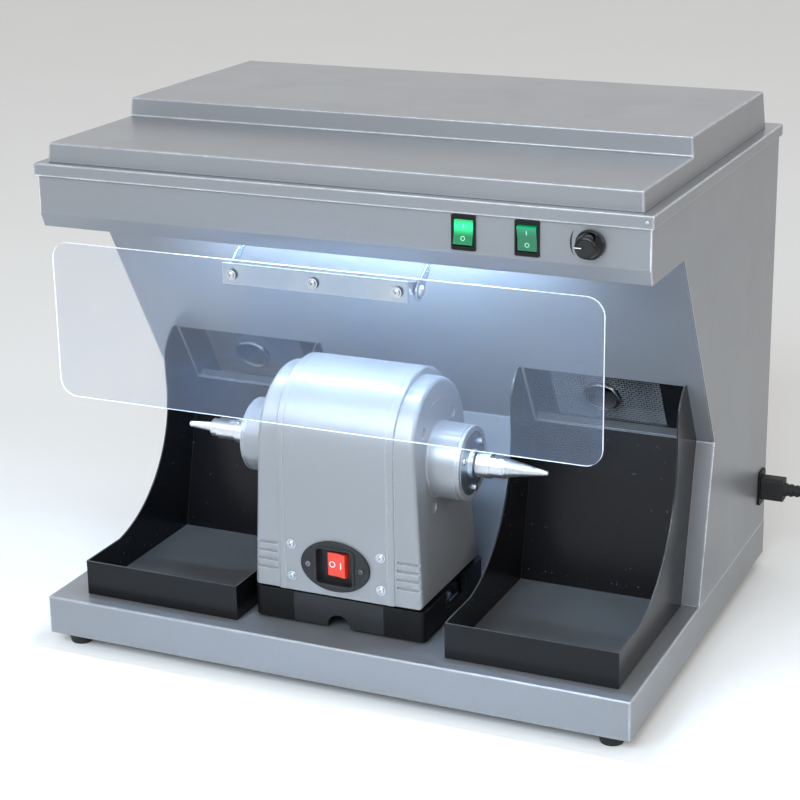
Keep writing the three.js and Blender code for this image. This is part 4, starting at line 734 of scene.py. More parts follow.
def lit_lens(name, dark, light, centre_z, reach, strength):
    """A coloured rocker that glows about one height, from a lamp inside or, when off, as a faint painted
    glow.
    """
    made, tree, shader = material(
        name, Metallic=0.0, Coat_Weight=0.25, Coat_Roughness=0.08, Emission_Strength=strength)
    height = part_of(tree, place_of(tree, (0, 0, centre_z)), 2)
    near = remap(tree, math_node(tree, "ABSOLUTE", height), 0, reach, 1, 0)
    near = math_node(tree, "POWER", near, 1.6)
    coloured(tree, shader, near, rgb(*dark), rgb(*light))
    coloured(tree, shader, near, (0, 0, 0), rgb(*light), "Emission Color")
    rough_from(tree, shader, 0.16, times(tree, noise(tree, place_of(tree), 250.0, 2.0), 0.08))
    return made


def lamp_glass():
    """A lamp tube whose light fades at its two ends."""
    made, tree, shader = material("lamp_glass_lit", Metallic=0.0, Emission_Strength=160.0)
    along = math_node(tree, "ABSOLUTE", part_of(tree, place_of(tree), 0))
    end = remap(tree, along, 110 * mm, 206 * mm, 1, 0.12)
    coloured(tree, shader, end, rgb(130, 150, 180), rgb(192, 222, 255), "Emission Color")
    coloured(tree, shader, end, rgb(120, 120, 125), rgb(245, 248, 255))
    rough_from(tree, shader, 0.2, times(tree, end, 0.05))
    return made


def pleated_paper():
    made, tree, shader = material("pleated_paper", Metallic=0.0, Sheen_Weight=0.2)
    fibre = noise(tree, place_of(tree), 600.0, 4.0)
    coloured(tree, shader, fibre, rgb(205, 197, 176), rgb(226, 220, 203))
    rough_from(tree, shader, 0.8, times(tree, fibre, 0.15))
    return made


def middle_of(node_name):
    low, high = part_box(node_name)
    return (low + high) / 2


axis_y, axis_z = middle_of("rotor_shaft").yz
knob_x, knob_z = middle_of("speed_control").xz

# The near-white edge colours of both paints are painted highlights along folds and bends.
cabinet_paint = metallic_paint(
    "cabinet_paint", rgb(134, 136, 140), 0.45, 0.35, rgb(246, 249, 255), 0.003 * mm, 0.06, 2.6 * mm)
motor_paint = metallic_paint(
    "motor_paint_fine", rgb(140, 142, 145), 0.4, 0.33, rgb(214, 218, 223), 0.0004 * mm, 0.02, 1.1 * mm)
bin_paint = gloss_sheet_paint()
grained_black = moulding(
    "grained_black", (12, 12, 13), 0.5, 520.0, 0.03 * mm, (96, 96, 98), 0.5, Specular_IOR_Level=0.17)
smooth_black = moulding(
    "smooth_black", (26, 27, 29), 0.4, 1200.0, 0.01 * mm, (110, 110, 114), 0.4, Specular_IOR_Level=0.35)
gloss_black = moulding(
    "gloss_black_plastic", (8, 8, 9), 0.1, 300.0, 0.002 * mm, (60, 60, 64), 0.2, Specular_IOR_Level=0.4)
bezel_black = moulding(
    "bezel_black", (12, 13, 14), 0.34, 900.0, 0.008 * mm, (60, 62, 66), 0.3, Specular_IOR_Level=0.22)
black_rubber = moulding("black_rubber", (22, 22, 22), 0.7, 650.0, 0.03 * mm, (60, 60, 60), 0.3)
red_plastic = moulding(
    "red_rocker_plastic", (222, 52, 28), 0.3, 700.0, 0.006 * mm, (255, 140, 110), 0.35, Coat_Weight=0.3)
mark_white = moulding("mark_white", (238, 240, 240), 0.4, 900.0, 0.004 * mm, (250, 250, 250), 0.2)
mark_green = moulding("mark_pale_green", (178, 226, 204), 0.4, 900.0, 0.004 * mm, (200, 240, 220), 0.2)
mark_black = moulding("mark_black", (16, 16, 18), 0.45, 900.0, 0.004 * mm, (40, 40, 40), 0.2)
zinc = plated_steel("bright_zinc", (190, 196, 200), 0.24, (172, 184, 196))
turned_steel = plated_steel("turned_steel", (214, 217, 219), 0.3, (202, 207, 211), (0, axis_y, axis_z))
cap_zinc = plated_steel(
    "turned_zinc", (196, 206, 214), 0.32, (176, 192, 206), (0, axis_y, axis_z), 1600.0)
screw_steel = plated_steel("screw_steel", (196, 198, 202), 0.2, (176, 180, 186))
wire_steel = plated_steel("wire_steel", (128, 132, 136), 0.34, (104, 110, 116))
core_steel = plated_steel("core_steel_bare", (112, 114, 118), 0.45, (92, 90, 88))
shield_face = clear_sheet("shield_acrylic", rgb(243, 242, 240), 0.015)
shield_side_glow = glowing_sheet_edge()
lens_lit = lit_lens("lens_lit", (0, 118, 70), (40, 235, 140), 494.5 * mm, 10 * mm, 0.6)
# The suction rocker is off: its faint emission and paler band are a painted glow.
lens_off_painted_glow = lit_lens("lens_off_painted_glow", (0, 104, 68), (6, 150, 98), 500 * mm, 10 * mm, 0.1)
lit_glass = lamp_glass()
filter_paper = pleated_paper()

# The finishes of each slot, of which a CAD node gets the first
finishes = {
    "silver_paint": [cabinet_paint], "motor_paint": [motor_paint], "black_sheet": [bin_paint],
    "black_plastic": [grained_black, smooth_black], "rubber": [black_rubber],
    "gloss_black": [gloss_black, bezel_black, mark_white, mark_green, mark_black],
    "red_plastic": [red_plastic], "green_lens": [lens_off_painted_glow, lens_lit], "lamp_glass": [lit_glass],
    "clear_plastic": [shield_face], "zinc_steel": [zinc, cap_zinc], "wire_mesh": [wire_steel],
    "bright_steel": [turned_steel, screw_steel], "core_steel": [core_steel], "filter_paper": [filter_paper],
}
slot_of_node = {part["node"]: part["material_slot"] for part in frame["record"]["subparts"]}
for name, carried in frame["nodes"].items():
    carried.data.materials.clear()
    carried.data.materials.append(finishes[slot_of_node[name]][0])


# Stage

stage_aim = Vector((0, 0, 0.3))


def set_stage():
    """A white room for the camera, with a softer, slightly warm light on the object."""
    scene = bpy.context.scene
    scene.view_settings.view_transform = "Standard"
    world = bpy.data.worlds.new("studio")
    world.use_nodes = True
    scene.world = world
    tree = world.node_tree
    path = node(tree, "LightPath").outputs
    seen = math_node(tree, "MAXIMUM", path["Is Camera Ray"], path["Is Glossy Ray"])
    seen = math_node(tree, "MAXIMUM", seen, path["Is Transmission Ray"])
    sky = tree.nodes["Background"]
    feed(tree, sky.inputs, {"Color": (1.0, 0.99, 0.97, 1), "Strength": 0.58})
    white = node(tree, "Background", {"Color": (1, 1, 1, 1), "Strength": 1.0})
    blended = node(tree, "MixShader", {0: seen, 1: sky.outputs[0], 2: white.outputs[0]}).outputs[0]
    feed(tree, tree.nodes["World Output"].inputs, {"Surface": blended})

    bpy.ops.object.select_all(action="DESELECT")
    bpy.ops.mesh.primitive_plane_add(size=14, location=(0, 2, 0))
    floor = done(named("studio_floor"))
    made, tree, shader = material("studio_floor_paper", Metallic=0.0, Roughness=0.9)
    coloured(tree, shader, noise(tree, place_of(tree), 3.0, 2.0), (0.93, 0.93, 0.93), (0.96, 0.96, 0.955))
    floor.data.materials.append(made)


def add_lamp(name, place, size, power, colour):
    light = bpy.data.lights.new(name, "AREA")
    light.shape = "RECTANGLE"
    light.size, light.size_y = size
    light.energy = power
    light.color = colour
    lamp = bpy.data.objects.new(name, light)
    place = Vector(place)
    way = (stage_aim - place).normalized().to_track_quat("-Z", "Y").to_matrix().to_4x4()
    lamp.matrix_world = Matrix.Translation(place) @ way
    bpy.context.scene.collection.objects.link(lamp)


set_stage()
add_lamp("window_light", (-0.1, -2.8, 2.1), (2.6, 1.4), 96, (0.78, 0.9, 1.0))
add_lamp("room_light", (2.4, -0.9, 1.5), (1.4, 1.4), 15, (1.0, 0.95, 0.88))


# Fasteners, each modelled once


def cross_screw_pattern(name, head, height, washer=0):
    """A pan-head cross screw at zero that faces the front, standing on its washer."""
    crown = height * 0.42
    shoulder = height * 0.45
    rim = head * 0.985
    steps = 6
    base = 0.8 * mm if washer else 0
    soft = 0.15 * mm
    profile = [(0, 0)]
    if washer:
        profile += [(0, washer - soft), (soft, washer), (base - soft, washer), (base, washer - 0.2 * mm)]
    profile += [(base, head), (base + shoulder, rim)]
    for k in range(1, steps + 1):
        angle = k / steps * math.pi / 2
        radius = rim * math.cos(angle) ** 0.6 if k < steps else 0
        profile.append((base + shoulder + crown * math.sin(angle), radius))
    screw = turned(name, (0, 0, 0), -BACK, profile, 40)
    arm, wide = head * 0.56, head * 0.15
    deep = base + height * 0.35
    for angle in (0, math.pi / 2):
        cutter = lump("cross_cutter", (-arm, -2 * height - base, -wide), (arm, -deep, wide))
        cutter.data.transform(Matrix.Rotation(angle, 4, "Y"))
        edit(cutter)
        pick(cutter, "verts", lambda corner: corner.co.y > -deep - mm / 10)
        bpy.ops.transform.resize(value=(0.45, 1, 0.45), center_override=(0, -deep, 0))
        cut(screw, cutter)
    return rounded(screw, 0.06 * mm, 1, 50)


def set_screw(pattern, name, place, body, metal, facing=-BACK, turn=0, size=1):
    """A copy of a front-facing screw, set at a place and turned to face another way."""
    way = (-BACK).rotation_difference(Vector(facing)).to_matrix().to_4x4()
    spin = Matrix.Rotation(turn, 4, "Y") @ Matrix.Scale(size, 4)
    screw = copy_at(pattern, name, Matrix.Translation(Vector(place)) @ way @ spin)
    finish(screw, body, metal, even=False)


def set_steel_screw(pattern, name, place, body="cabinet", **turning):
    set_screw(pattern, name, place, body, screw_steel, **turning)


pan_screw = cross_screw_pattern("pan_screw_pattern", 3.7 * mm, 2.4 * mm, 5.4 * mm)
bare_screw = cross_screw_pattern("bare_screw_pattern", 3.1 * mm, 1.9 * mm)
cap_screw = cross_screw_pattern("cap_screw_pattern", 4 * mm, 3.6 * mm)
patterns = [pan_screw, bare_screw, cap_screw]


# Cabinet sheet metal

opening_top = 84 * mm
opening_half = 303 * mm
slope_up = Vector((0, -130, 227)).normalized()
slope = Matrix((RIGHT, slope_up, RIGHT.cross(slope_up))).transposed().to_4x4()
slope.translation = Vector((0, 20, 226)) * mm
to_slope = slope.inverted()


def shade_opening_edges(shell):
    """Paints the cut edges of the two suction openings black: painted shade on the edges between the work
    face and the bins.
    """
    edit(shell)
    pick(shell, "faces", lambda face: abs(face.normal.dot(slope.col[2].xyz)) < 0.95
         and mm < (to_slope @ face.calc_center_median()).y < opening_top
         and abs(face.calc_center_median().x) < opening_half)
    mark_picked(shell)


def dress_cabinet():
    for name, fold, edge in (
        ("base_pan", 1.6, 0.3), ("top_rim", 1.3, 0.3), ("header_front", 1.2, 0.25),
        ("side_panel_left", 0, 0.3), ("side_panel_right", 0, 0.3), ("back_panel", 0, 0.3),
        ("work_face", 1.5, 0.25), ("header_floor", 0, 0.25),
    ):
        shell = dressed(name, name + "_painted", fold * mm, edge * mm)
        if name == "work_face":
            shade_opening_edges(shell)
        finish(shell, "cabinet", [cabinet_paint, bin_paint], [name])


def fold_lid():
    """One sheet folded into two tiers, with leaning risers."""
    low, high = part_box("lid")
    tier, step_y, lean = 540 * mm, -51.8 * mm, 1.5 * mm
    middle = (low + high) / 2
    half = (high - low) / 2
    lid = lump("lid_folded", low, (high.x, high.y, tier))
    edit(lid)
    pick(lid, "verts", lambda corner: corner.co.z > tier - mm)
    bpy.ops.transform.resize(value=(1 - lean / half.x, 1 - lean / half.y, 1), center_override=middle)
    pick(lid, "faces", lambda face: face.normal.z > 0.9)
    bpy.ops.mesh.bisect(plane_co=(0, step_y, tier), plane_no=BACK)
    pick(lid, "faces", lambda face: face.normal.z > 0.9 and face.calc_center_median().y > step_y)
    push((0, 0, high.z - tier))
    upper = Vector((0, (step_y + high.y) / 2, high.z))
    depth = (high.y - step_y) / 2
    bpy.ops.transform.resize(value=(1 - lean / half.x, 1 - lean / depth, 1), center_override=upper)
    pick(lid, "faces", lambda face: face.normal.z < -0.9)
    bpy.ops.mesh.delete(type="FACE")
    pick(lid, "edges", lambda line: len(line.link_faces) == 2 and line.calc_face_angle(0) > 0.5)
    bevel_edges(1.6 * mm, 4)
    apply(lid, "SOLIDIFY", thickness=1.5 * mm, offset=-1, use_even_offset=True)
    finish(lid, "cabinet", cabinet_paint, ["lid"])


def turn_feet():
    profile = sized(
        (0, 0), (0, 9.5), (0.6, 11.6), (2, 12.1), (9, 13.4), (12.6, 14), (13.8, 13.7), (13.95, 13),
        (13.95, 0))
    for side, x in (("left", -300), ("right", 300)):
        for end, y in (("front", -228), ("rear", 228)):
            foot = turned(f"rubber_foot_{end}_{side}", (x * mm, y * mm, 0), UP, profile, 64)
            finish(foot, "cabinet", black_rubber, [f"foot_{end}_{side}"])


dress_cabinet()
fold_lid()
turn_feet()


# Dust bins

for side in ("left", "right"):
    body = side + "_bin"
    dress("bin_" + side, "dust_bin_" + side, body, bin_paint, 0.3 * mm, 0.9 * mm, fold_segments=3)


# Suction screens, drawn on the slope of the work face

cloth_pitch = 2.9 * mm
wire_radius = 0.42 * mm
screen_face = -11 * mm
port_at = Vector((-10, 40, 0)) * mm
cloth_hole = 18.4 * mm
window_low_at = Vector((-64, 1.5, 0)) * mm
window_high_at = Vector((56, 67, 0)) * mm
hidden_margin = Vector((2, 2, 0)) * mm


def box_on_slope(node_name):
    points = [to_slope @ corner.co for corner in frame["nodes"][node_name].data.vertices]
    return [Vector(reach(point[k] for point in points) for k in range(3)) for reach in (min, max)]


def wire(name, start, along, steps, step, phase):
    """One crimped wire, over and under the wires that it crosses."""
    start = Vector(start)
    piece = begin(name, start)
    points = [start]
    for k in range(1, steps * 2 + 1):
        height = wire_radius * math.sin((k / 2 + phase) * math.pi)
        points.append(start + Vector(along) * (step * k / 2) + Vector((0, 0, height)))
    draw_through(points)
    only(piece)
    bpy.ops.object.convert(target="CURVE")
    piece.data.bevel_depth = wire_radius
    piece.data.bevel_resolution = 1
    piece.data.use_fill_caps = True
    bpy.ops.object.convert(target="MESH")
    return named(name)


def merged(first, second):
    only(first)
    second.select_set(True)
    bpy.ops.object.join()
    return first


def woven_cloth(name, low, high):
    """Crossed crimped wires between two corners of the slope's plane."""
    columns = int((high.x - low.x) / cloth_pitch / 2)
    rows = int((high.y - low.y) / cloth_pitch / 2)
    step_x = (high.x - low.x) / (columns * 2)
    step_y = (high.y - low.y) / (rows * 2)
    sets = []
    for count, step, other_step, cells, along, across, phase in (
        (columns, step_x, step_y, rows * 2, BACK, RIGHT, 0.5),
        (rows, step_y, step_x, columns * 2, RIGHT, BACK, 1.5),
    ):
        first = Vector((low.x, low.y, 0)) + across * step / 2
        wires = [wire(name, first + across * step * k, along, cells, other_step, phase + k) for k in (0, 1)]
        sets.append(apply(
            merged(*wires), "ARRAY", count=count, use_relative_offset=False, use_constant_offset=True,
            constant_offset_displace=across * step * 2))
    merged(*sets)
    return named(name)


def build_screen(side):
    stands_for = ["mesh_screen_" + side]
    low, high = box_on_slope("mesh_screen_" + side)
    bay_x = (low.x + high.x) / 2
    middle = Vector((bay_x, 0, 0)) + port_at
    bay_middle = Vector((bay_x, low.y, 0))
    window_low, window_high = bay_middle + window_low_at, bay_middle + window_high_at
    cloth = woven_cloth("woven_screen_" + side, window_low - hidden_margin, window_high + hidden_margin)
    cloth.data.transform(Matrix.Translation((0, 0, screen_face - 0.9 * mm)))
    edit(cloth)
    pick(cloth, "verts", lambda corner: (corner.co.xy - middle.xy).length < cloth_hole)
    bpy.ops.mesh.delete(type="VERT")
    select_whole()
    bpy.ops.mesh.fill_holes(sides=12)
    only(cloth)
    cloth.data.transform(slope)
    finish(cloth, "cabinet", wire_steel, stands_for, smooth=60, even=False)

    wide, tall = high.x - low.x, high.y - low.y
    centre = Vector((bay_x, (low.y + high.y) / 2, screen_face - 1.9 * mm))
    border = slab("screen_border_" + side, centre, RIGHT, BACK, wide, tall, 2 * mm, 2.2 * mm)
    window = window_high - window_low
    window_centre = (window_low + window_high) / 2 + UP * (centre.z - mm)
    cut(border, slab("border_cutter", window_centre, RIGHT, BACK, window.x, window.y, mm, 5 * mm))
    rounded(border, 0.7 * mm, 3)
    collar = sized((-19.7, 17), (2.2, 17), (2.2, 20), (-19.7, 20), (-19.7, 17))
    lip = sized((2.1, 17.9), (2.9, 18), (3.2, 18.7), (2.9, 19.4), (1.2, 20.2), (1, 19.4), (2.1, 17.9))
    place = (middle.x, middle.y, screen_face)
    for piece, metal in (
        (border, bin_paint), (turned("screen_port_" + side, place, UP, collar, 72), bin_paint),
        (turned("screen_port_lip_" + side, place, UP, lip, 72), zinc),
    ):
        piece.data.transform(slope)
        finish(piece, "cabinet", metal, stands_for)


for side in ("left", "right"):
    build_screen(side)


# Header controls

ink_sunk = 0.1 * mm
ink_proud = 0.12 * mm
knob_back = -217 * mm
pointer_face = -235 * mm


def face_of(node_name, test):
    """The middle and normal of a flat face of a node, found by a test on its triangles."""
    mesh = frame["nodes"][node_name].data
    chosen = [face for face in mesh.polygons if test(face.center, face.normal)]
    total = sum(face.area for face in chosen)
    centre = sum((face.center * face.area for face in chosen), Vector()) / total
    normal = sum((face.normal * face.area for face in chosen), Vector()).normalized()
    return centre, normal


def face_matrix(centre, normal):
    """A frame on a face: X along it, Y up it and Z out of it."""
    across = UP.cross(normal).normalized()
    turn = Matrix((across, normal.cross(across), normal)).transposed().to_4x4()
    turn.translation = centre
    return turn


def ink_on(mark, at, body, ink):
    mark.data.transform(at)
    finish(mark, body, ink, even=False)


def bar_mark(name, at, width, height, body, ink):
    thick = ink_sunk + ink_proud
    mark = slab(name, (0, 0, -ink_sunk), RIGHT, BACK, width, height, width * 0.12, thick, 3)
    ink_on(mark, at, body, ink)


def ring_mark(name, at, radius, line, body, ink):
    inner = radius - line
    low, high = -ink_sunk, ink_proud
    profile = [(low, inner), (high, inner), (high, radius), (low, radius), (low, inner)]
    ink_on(turned(name, (0, 0, 0), UP, profile, 48), at, body, ink)


def build_switch(purpose, lens):
    body = purpose + "_switch"
    dress("switch_bezel_" + purpose, "switch_frame_" + purpose, "cabinet", bezel_black, 0.55 * mm)
    rocker = purpose + "_rocker"
    middle = middle_of(rocker).z
    upper = face_of(rocker, lambda at, out: out.y < -0.6 and at.z > middle + mm)
    lower = face_of(rocker, lambda at, out: out.y < -0.6 and at.z < middle - mm)
    dress(rocker, "lit_rocker_" + purpose, body, lens, 0.5 * mm)
    bar_mark("rocker_bar_" + purpose, face_matrix(*upper), 0.8 * mm, 4.4 * mm, body, mark_green)
    ring_mark("rocker_ring_" + purpose, face_matrix(*lower), 2.2 * mm, 0.55 * mm, body, mark_green)


def pointer_block(name, reach, half, front, back):
    """A block on the dial's face between two distances to the left of its axis."""
    far, near = reach
    low = (knob_x - far, pointer_face - front, knob_z - half)
    return lump(name, low, (knob_x - near, pointer_face + back, knob_z + half))


def build_knob():
    knob = turned("dial_knob", (knob_x, knob_back, knob_z), -BACK, sized(
        (0, 3.3), (0, 13.4), (0.5, 14), (3.4, 14), (4.1, 13.5), (4.6, 12.6), (5.4, 12.2), (15.2, 10.6),
        (16.3, 10), (16.9, 9), (17, 8), (16.6, 7.6), (16.5, 0), (11.3, 0), (11.3, 3.3), (0, 3.3)))
    finish(knob, "speed_dial", gloss_black, ["speed_knob"])
    ridge = rounded(pointer_block("dial_pointer", (10.6 * mm, 1.5 * mm), 1.1 * mm, 0, 2 * mm), 0.5 * mm, 3)
    finish(ridge, "speed_dial", gloss_black, ["speed_knob"])
    line = pointer_block("dial_line", (10.2 * mm, 3 * mm), 0.35 * mm, ink_proud, 0.5 * mm)
    finish(line, "speed_dial", mark_white, even=False)


def build_speed_mark():
    """A printed crescent beside the dial, widest at its middle."""
    outer, bulge = 20.5 * mm, 1.9 * mm
    reach = math.radians(38)
    steps = 24

    def spot(angle, radius):
        return Vector((knob_x - radius * math.cos(angle), -216 * mm, knob_z + radius * math.sin(angle)))

    there = [reach * (2 * k / steps - 1) for k in range(steps + 1)]
    points = [spot(angle, outer) for angle in there]
    points += [spot(angle, outer - bulge * math.cos(angle / reach * math.pi / 2)) for angle in there[-2:0:-1]]
    mark = begin("speed_sweep_mark", points[0])
    draw_through(points)
    select_whole()
    bpy.ops.mesh.edge_face_add()
    push((0, -ink_proud, 0))
    face_outward()
    only(mark)
    bpy.ops.mesh.customdata_custom_splitnormals_clear()
    finish(mark, "cabinet", mark_black, even=False)


build_switch("light", lens_lit)
build_switch("suction", lens_off_painted_glow)
build_knob()
build_speed_mark()
set_screw(bare_screw, "rim_screw_right", (0.3215, -0.219, 0.5132), "cabinet", cabinet_paint, size=0.6)


# Lamp and shield

shield_screws = (-88 * mm, 0, 88 * mm)
screw_below_top = 15 * mm
screw_hole = 2.4 * mm


def build_lamp():
    low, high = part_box("lamp_tube")
    centre = (low + high) / 2
    reach = (high.x - low.x) / 2
    radius = (high.z - low.z) / 2
    rim = reach - 1.6 * mm
    tube = turned("lamp_tube_lit", (0, centre.y, centre.z), RIGHT, [
        (-reach, 0), (-reach, radius * 0.8), (-rim, radius), (rim, radius), (reach, radius * 0.8), (reach, 0),
    ], 48)
    finish(tube, "cabinet", lit_glass, ["lamp_tube"])
    dress("lamp_holder", "lamp_holder_moulded", "cabinet", grained_black, 0.6 * mm)


def build_shield():
    low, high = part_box("shield")
    wide, thick, tall = high - low
    middle_z = (low.z + high.z) / 2
    sheet = slab("clear_shield", (0, high.y, middle_z), RIGHT, UP, wide, tall, 18 * mm, thick, 20)
    screw_z = high.z - screw_below_top
    drill = [(-mm, 0), (-mm, screw_hole), (5 * mm, screw_hole), (5 * mm, 0)]
    for x in shield_screws:
        cut(sheet, turned("hole_cutter", (x, high.y, screw_z), -BACK, drill, 32))
    rounded(sheet, 0.45 * mm, 2, 50)
    edit(sheet)
    pick(sheet, "faces", lambda face: abs(face.normal.y) < 0.9)
    mark_picked(sheet)
    finish(sheet, "shield_frame", [shield_face, shield_side_glow], ["shield"])
    for k, x in enumerate(shield_screws):
        name = f"shield_screw_{k + 1}"
        set_steel_screw(pan_screw, name, (x, low.y, screw_z), "shield_frame", turn=0.5 + k * 1.1)
    dress("shield_channel", "shield_strap", "shield_frame", zinc, 0.35 * mm)
    dress("shield_hanger", "shield_bracket", "cabinet", zinc, 0.35 * mm)


build_lamp()
build_shield()


# Motor body: a rolled cover between two castings, each lofted along the same outline

cover_front, cover_back = -213.5 * mm, -62 * mm
motor_foot, crown = 94.6 * mm, 249.6 * mm
cover_half, seam, drum_half, base_half = 57 * mm, 57.3 * mm, 65 * mm, 94.5 * mm
cover_round, casting_round, casting_step = 74 * mm, 67 * mm, 2 * mm
casting_wall = 4 * mm
hollow_start = 56 * mm
end_radius = 5 * mm
draft = 0.05
plate_z = motor_foot + 33.5 * mm
motor_centre = Vector((0, axis_y, axis_z))
motor_inside = Vector((0, -0.14, 0.2))
vents, vent_low, vent_pitch = 4, 20 * mm, 9.2 * mm


def motor_outline(name, x, radius, step, inset=0):
    """The body's outline square to X: upright front, round crown and a rear that slopes to the foot."""
    low = motor_foot + inset
    foot_front, foot_back = cover_front + step + inset, cover_back - step - inset
    centre = Vector((x, cover_front + step + radius, crown))
    inner = radius - inset
    reach = Vector((foot_back - centre.y, low - crown))
    end = math.atan2(reach.y, reach.x) + math.acos(inner / reach.length)
    piece = begin(name, (x, foot_front, low))
    draw_to((x, foot_front, low), (x, foot_front, crown))
    bpy.ops.mesh.spin(steps=72, angle=math.pi - end, center=centre, axis=RIGHT)
    rear = (x, centre.y + inner * math.cos(end), crown + inner * math.sin(end))
    draw_to(rear, (x, foot_back, low))
    select_whole()
    bpy.ops.mesh.remove_doubles(threshold=mm / 1000)
    select_whole()
    return piece


def drawn_out(piece, *stations):
    """Fills an outline and extrudes it along X to each station."""
    bpy.ops.mesh.edge_face_add()
    for here, there in zip(stations, stations[1:]):
        push((there - here, 0, 0))
    face_outward()
    return piece


def rounded_end(piece, x, radius, segments):
    """Rounds the rim of the end face at a station."""
    pick(piece, "edges", lambda line: all(abs(corner.co.x - x) < merge_reach for corner in line.verts))
    bevel_edges(radius, segments)
    only(piece)


def leaned(piece):
    """Leans the outer end in by the casting's draft; the drum stays upright."""
    lean_length = base_half - end_radius - drum_half
    for corner in piece.data.vertices:
        share = min(max((corner.co.x - drum_half) / lean_length, 0), 1)
        corner.co.x -= share * draft * (corner.co.z - motor_foot)
    return piece


def round_part(name, *points, steps=96):
    """A round piece on the motor's axis, its profile in millimetres."""
    return turned(name, motor_centre, RIGHT, sized(*points), steps)


def at_hub_foot(line):
    """True for the inner edge where the hub leaves the casting's face."""
    return not line.is_convex and all(
        38.3 * mm < (corner.co - motor_centre).yz.length < 39.8 * mm and 84 * mm < corner.co.x < 92 * mm
        for corner in line.verts)


def end_casting():
    name = "end_casting_fine_right"
    body = drawn_out(motor_outline(name, seam, casting_round, casting_step), seam, drum_half, base_half)
    rounded_end(body, base_half, end_radius, 7)
    leaned(body)
    hub = round_part(
        "hub", (78, 0), (78, 39.5), (117.5, 38.6), (117.5, 37.6), (118.7, 37.6), (118.7, 38.6),
        (121.2, 38.6), (122, 37.8), (122, 0), steps=128)
    joined(body, hub)
    edit(body)
    pick(body, "edges", at_hub_foot)
    bevel_edges(1.8 * mm, 4)
    only(body)
    band = drawn_out(motor_outline("drum_band", seam, cover_round, 0), seam, drum_half)
    rounded_end(band, drum_half, 2 * mm, 4)
    joined(body, band)
    hollow = motor_outline("hollow_cutter", hollow_start, casting_round, casting_step, casting_wall)
    drawn_out(hollow, hollow_start, drum_half, base_half - casting_wall)
    only(hollow)
    cut(body, leaned(hollow))
    spigot = round_part("spigot", (44, 59.3), (84.7, 59.3), (84.7, 62.3), (44, 62.3), (44, 59.3))
    hub_inside = round_part("hub_inside", (78, 0), (78, 39.5), (90, 39.2), (90, 0), steps=128)
    joined(body, spigot, hub_inside)
    cut(body, round_part(
        "bore_cutter", (77, 0), (77, 17.8), (100.3, 17.8), (100.3, 12), (118.7, 12), (118.7, 33.3),
        (124, 33.3), (124, 0)))
    for across, up in ((-36, 39), (36, 39), (-24, -43), (24, -43)):
        place = motor_centre + Vector((0, across, up)) * mm
        face = base_half - draft * (place.z - motor_foot)
        cut(body, turned("hole_cutter", place, RIGHT, [
            (face - 3 * mm, 0), (face - 3 * mm, 5.4 * mm), (face - 0.5 * mm, 5.4 * mm),
            (face + mm, 6.9 * mm), (face + mm, 0)], 40))
    for k in range(vents):
        place = (79 * mm, cover_front + 4.4 * mm, motor_foot + vent_low + k * vent_pitch)
        cut(body, slab("vent_cutter", place, RIGHT, UP, 25 * mm, 3.2 * mm, 1.59 * mm, 8 * mm, 6))
    return rounded(body, 0.3 * mm, 2, 40)


def finish_pair(right, name, node_name, metal):
    """Finishes a right-hand piece and its mirrored twin."""
    left = copy_at(right, name + "_left", MIRROR)
    for piece, side in ((right, "_right"), (left, "_left")):
        finish(piece, "cabinet", metal, [node_name + side])


def build_motor_body():
    cover = motor_outline("motor_cover_rolled", -cover_half, cover_round, 0)
    push((2 * cover_half, 0, 0))
    face_outward()
    only(cover)
    outward = sum(face.normal.dot(face.center - motor_inside) for face in cover.data.polygons)
    apply(cover, "SOLIDIFY", thickness=2 * mm, offset=-1 if outward > 0 else 1, use_even_offset=True)
    place = (0, cover_front + 4 * mm, plate_z)
    cut(cover, slab("window_cutter", place, RIGHT, UP, 44.6 * mm, 41.6 * mm, 4 * mm, 8 * mm))
    rounded(cover, 0.5 * mm, 3, 40)
    finish(cover, "cabinet", motor_paint, ["motor_cover"])
    for side, x in (("left", -50), ("right", 50)):
        for z in (110, 145):
            name = f"cover_screw_{z}_{side}"
            set_steel_screw(pan_screw, name, (x * mm, cover_front, z * mm), turn=x * z)
    finish_pair(end_casting(), "end_casting_fine", "end_casting", motor_paint)


build_motor_body()


# Bearing caps and spindles

cap_screw_circle = 27 * mm
cap_screw_seat = 122 * mm
rings_per_turn = 5


def build_caps():
    cap = round_part(
        "bearing_cap_turned_right", (119, 8.5), (119, 33), (121.3, 33), (122, 32.3), (122, 18), (122.6, 15.6),
        (124, 15), (126.2, 15), (127, 14.2), (127, 8.5), (119, 8.5), steps=128)
    finish_pair(cap, "bearing_cap_turned", "bearing_cap", cap_zinc)
    for k, angle in enumerate((38, 158, 278)):
        turn = math.radians(angle)
        circle = Vector((0, math.cos(turn), math.sin(turn))) * cap_screw_circle
        for side, way in (("right", RIGHT), ("left", -RIGHT)):
            place = motor_centre + circle + way * cap_screw_seat
            set_steel_screw(cap_screw, f"cap_screw_{side}_{k + 1}", place, facing=way, turn=angle)


def threaded(name, blank, cone_from, cone_to, root, tip, pitch, depth):
    """A turned spindle whose cone carries a fine thread, cut by moving its vertices along a helix."""
    length = cone_to - cone_from
    rings = int(length / pitch * rings_per_turn)
    cone = [(cone_from + length * k / rings, root + (tip - root) * k / rings) for k in range(1, rings)]
    where = next(k for k, (along, _) in enumerate(blank) if along >= cone_to - merge_reach)
    piece = turned(name, motor_centre, RIGHT, [*blank[:where], *cone, *blank[where:]], 72)
    for corner in piece.data.vertices:
        along = corner.co.x
        arm = (corner.co - motor_centre).yz
        if cone_from + pitch / 2 < along < cone_to - pitch / 2 and arm.length > tip * 0.8:
            turn = along / pitch - math.atan2(arm.y, arm.x) / math.tau
            groove = depth * abs(2 * (turn % 1) - 1)
            corner.co.yz = motor_centre.yz + arm * (1 - groove / arm.length)
    return piece


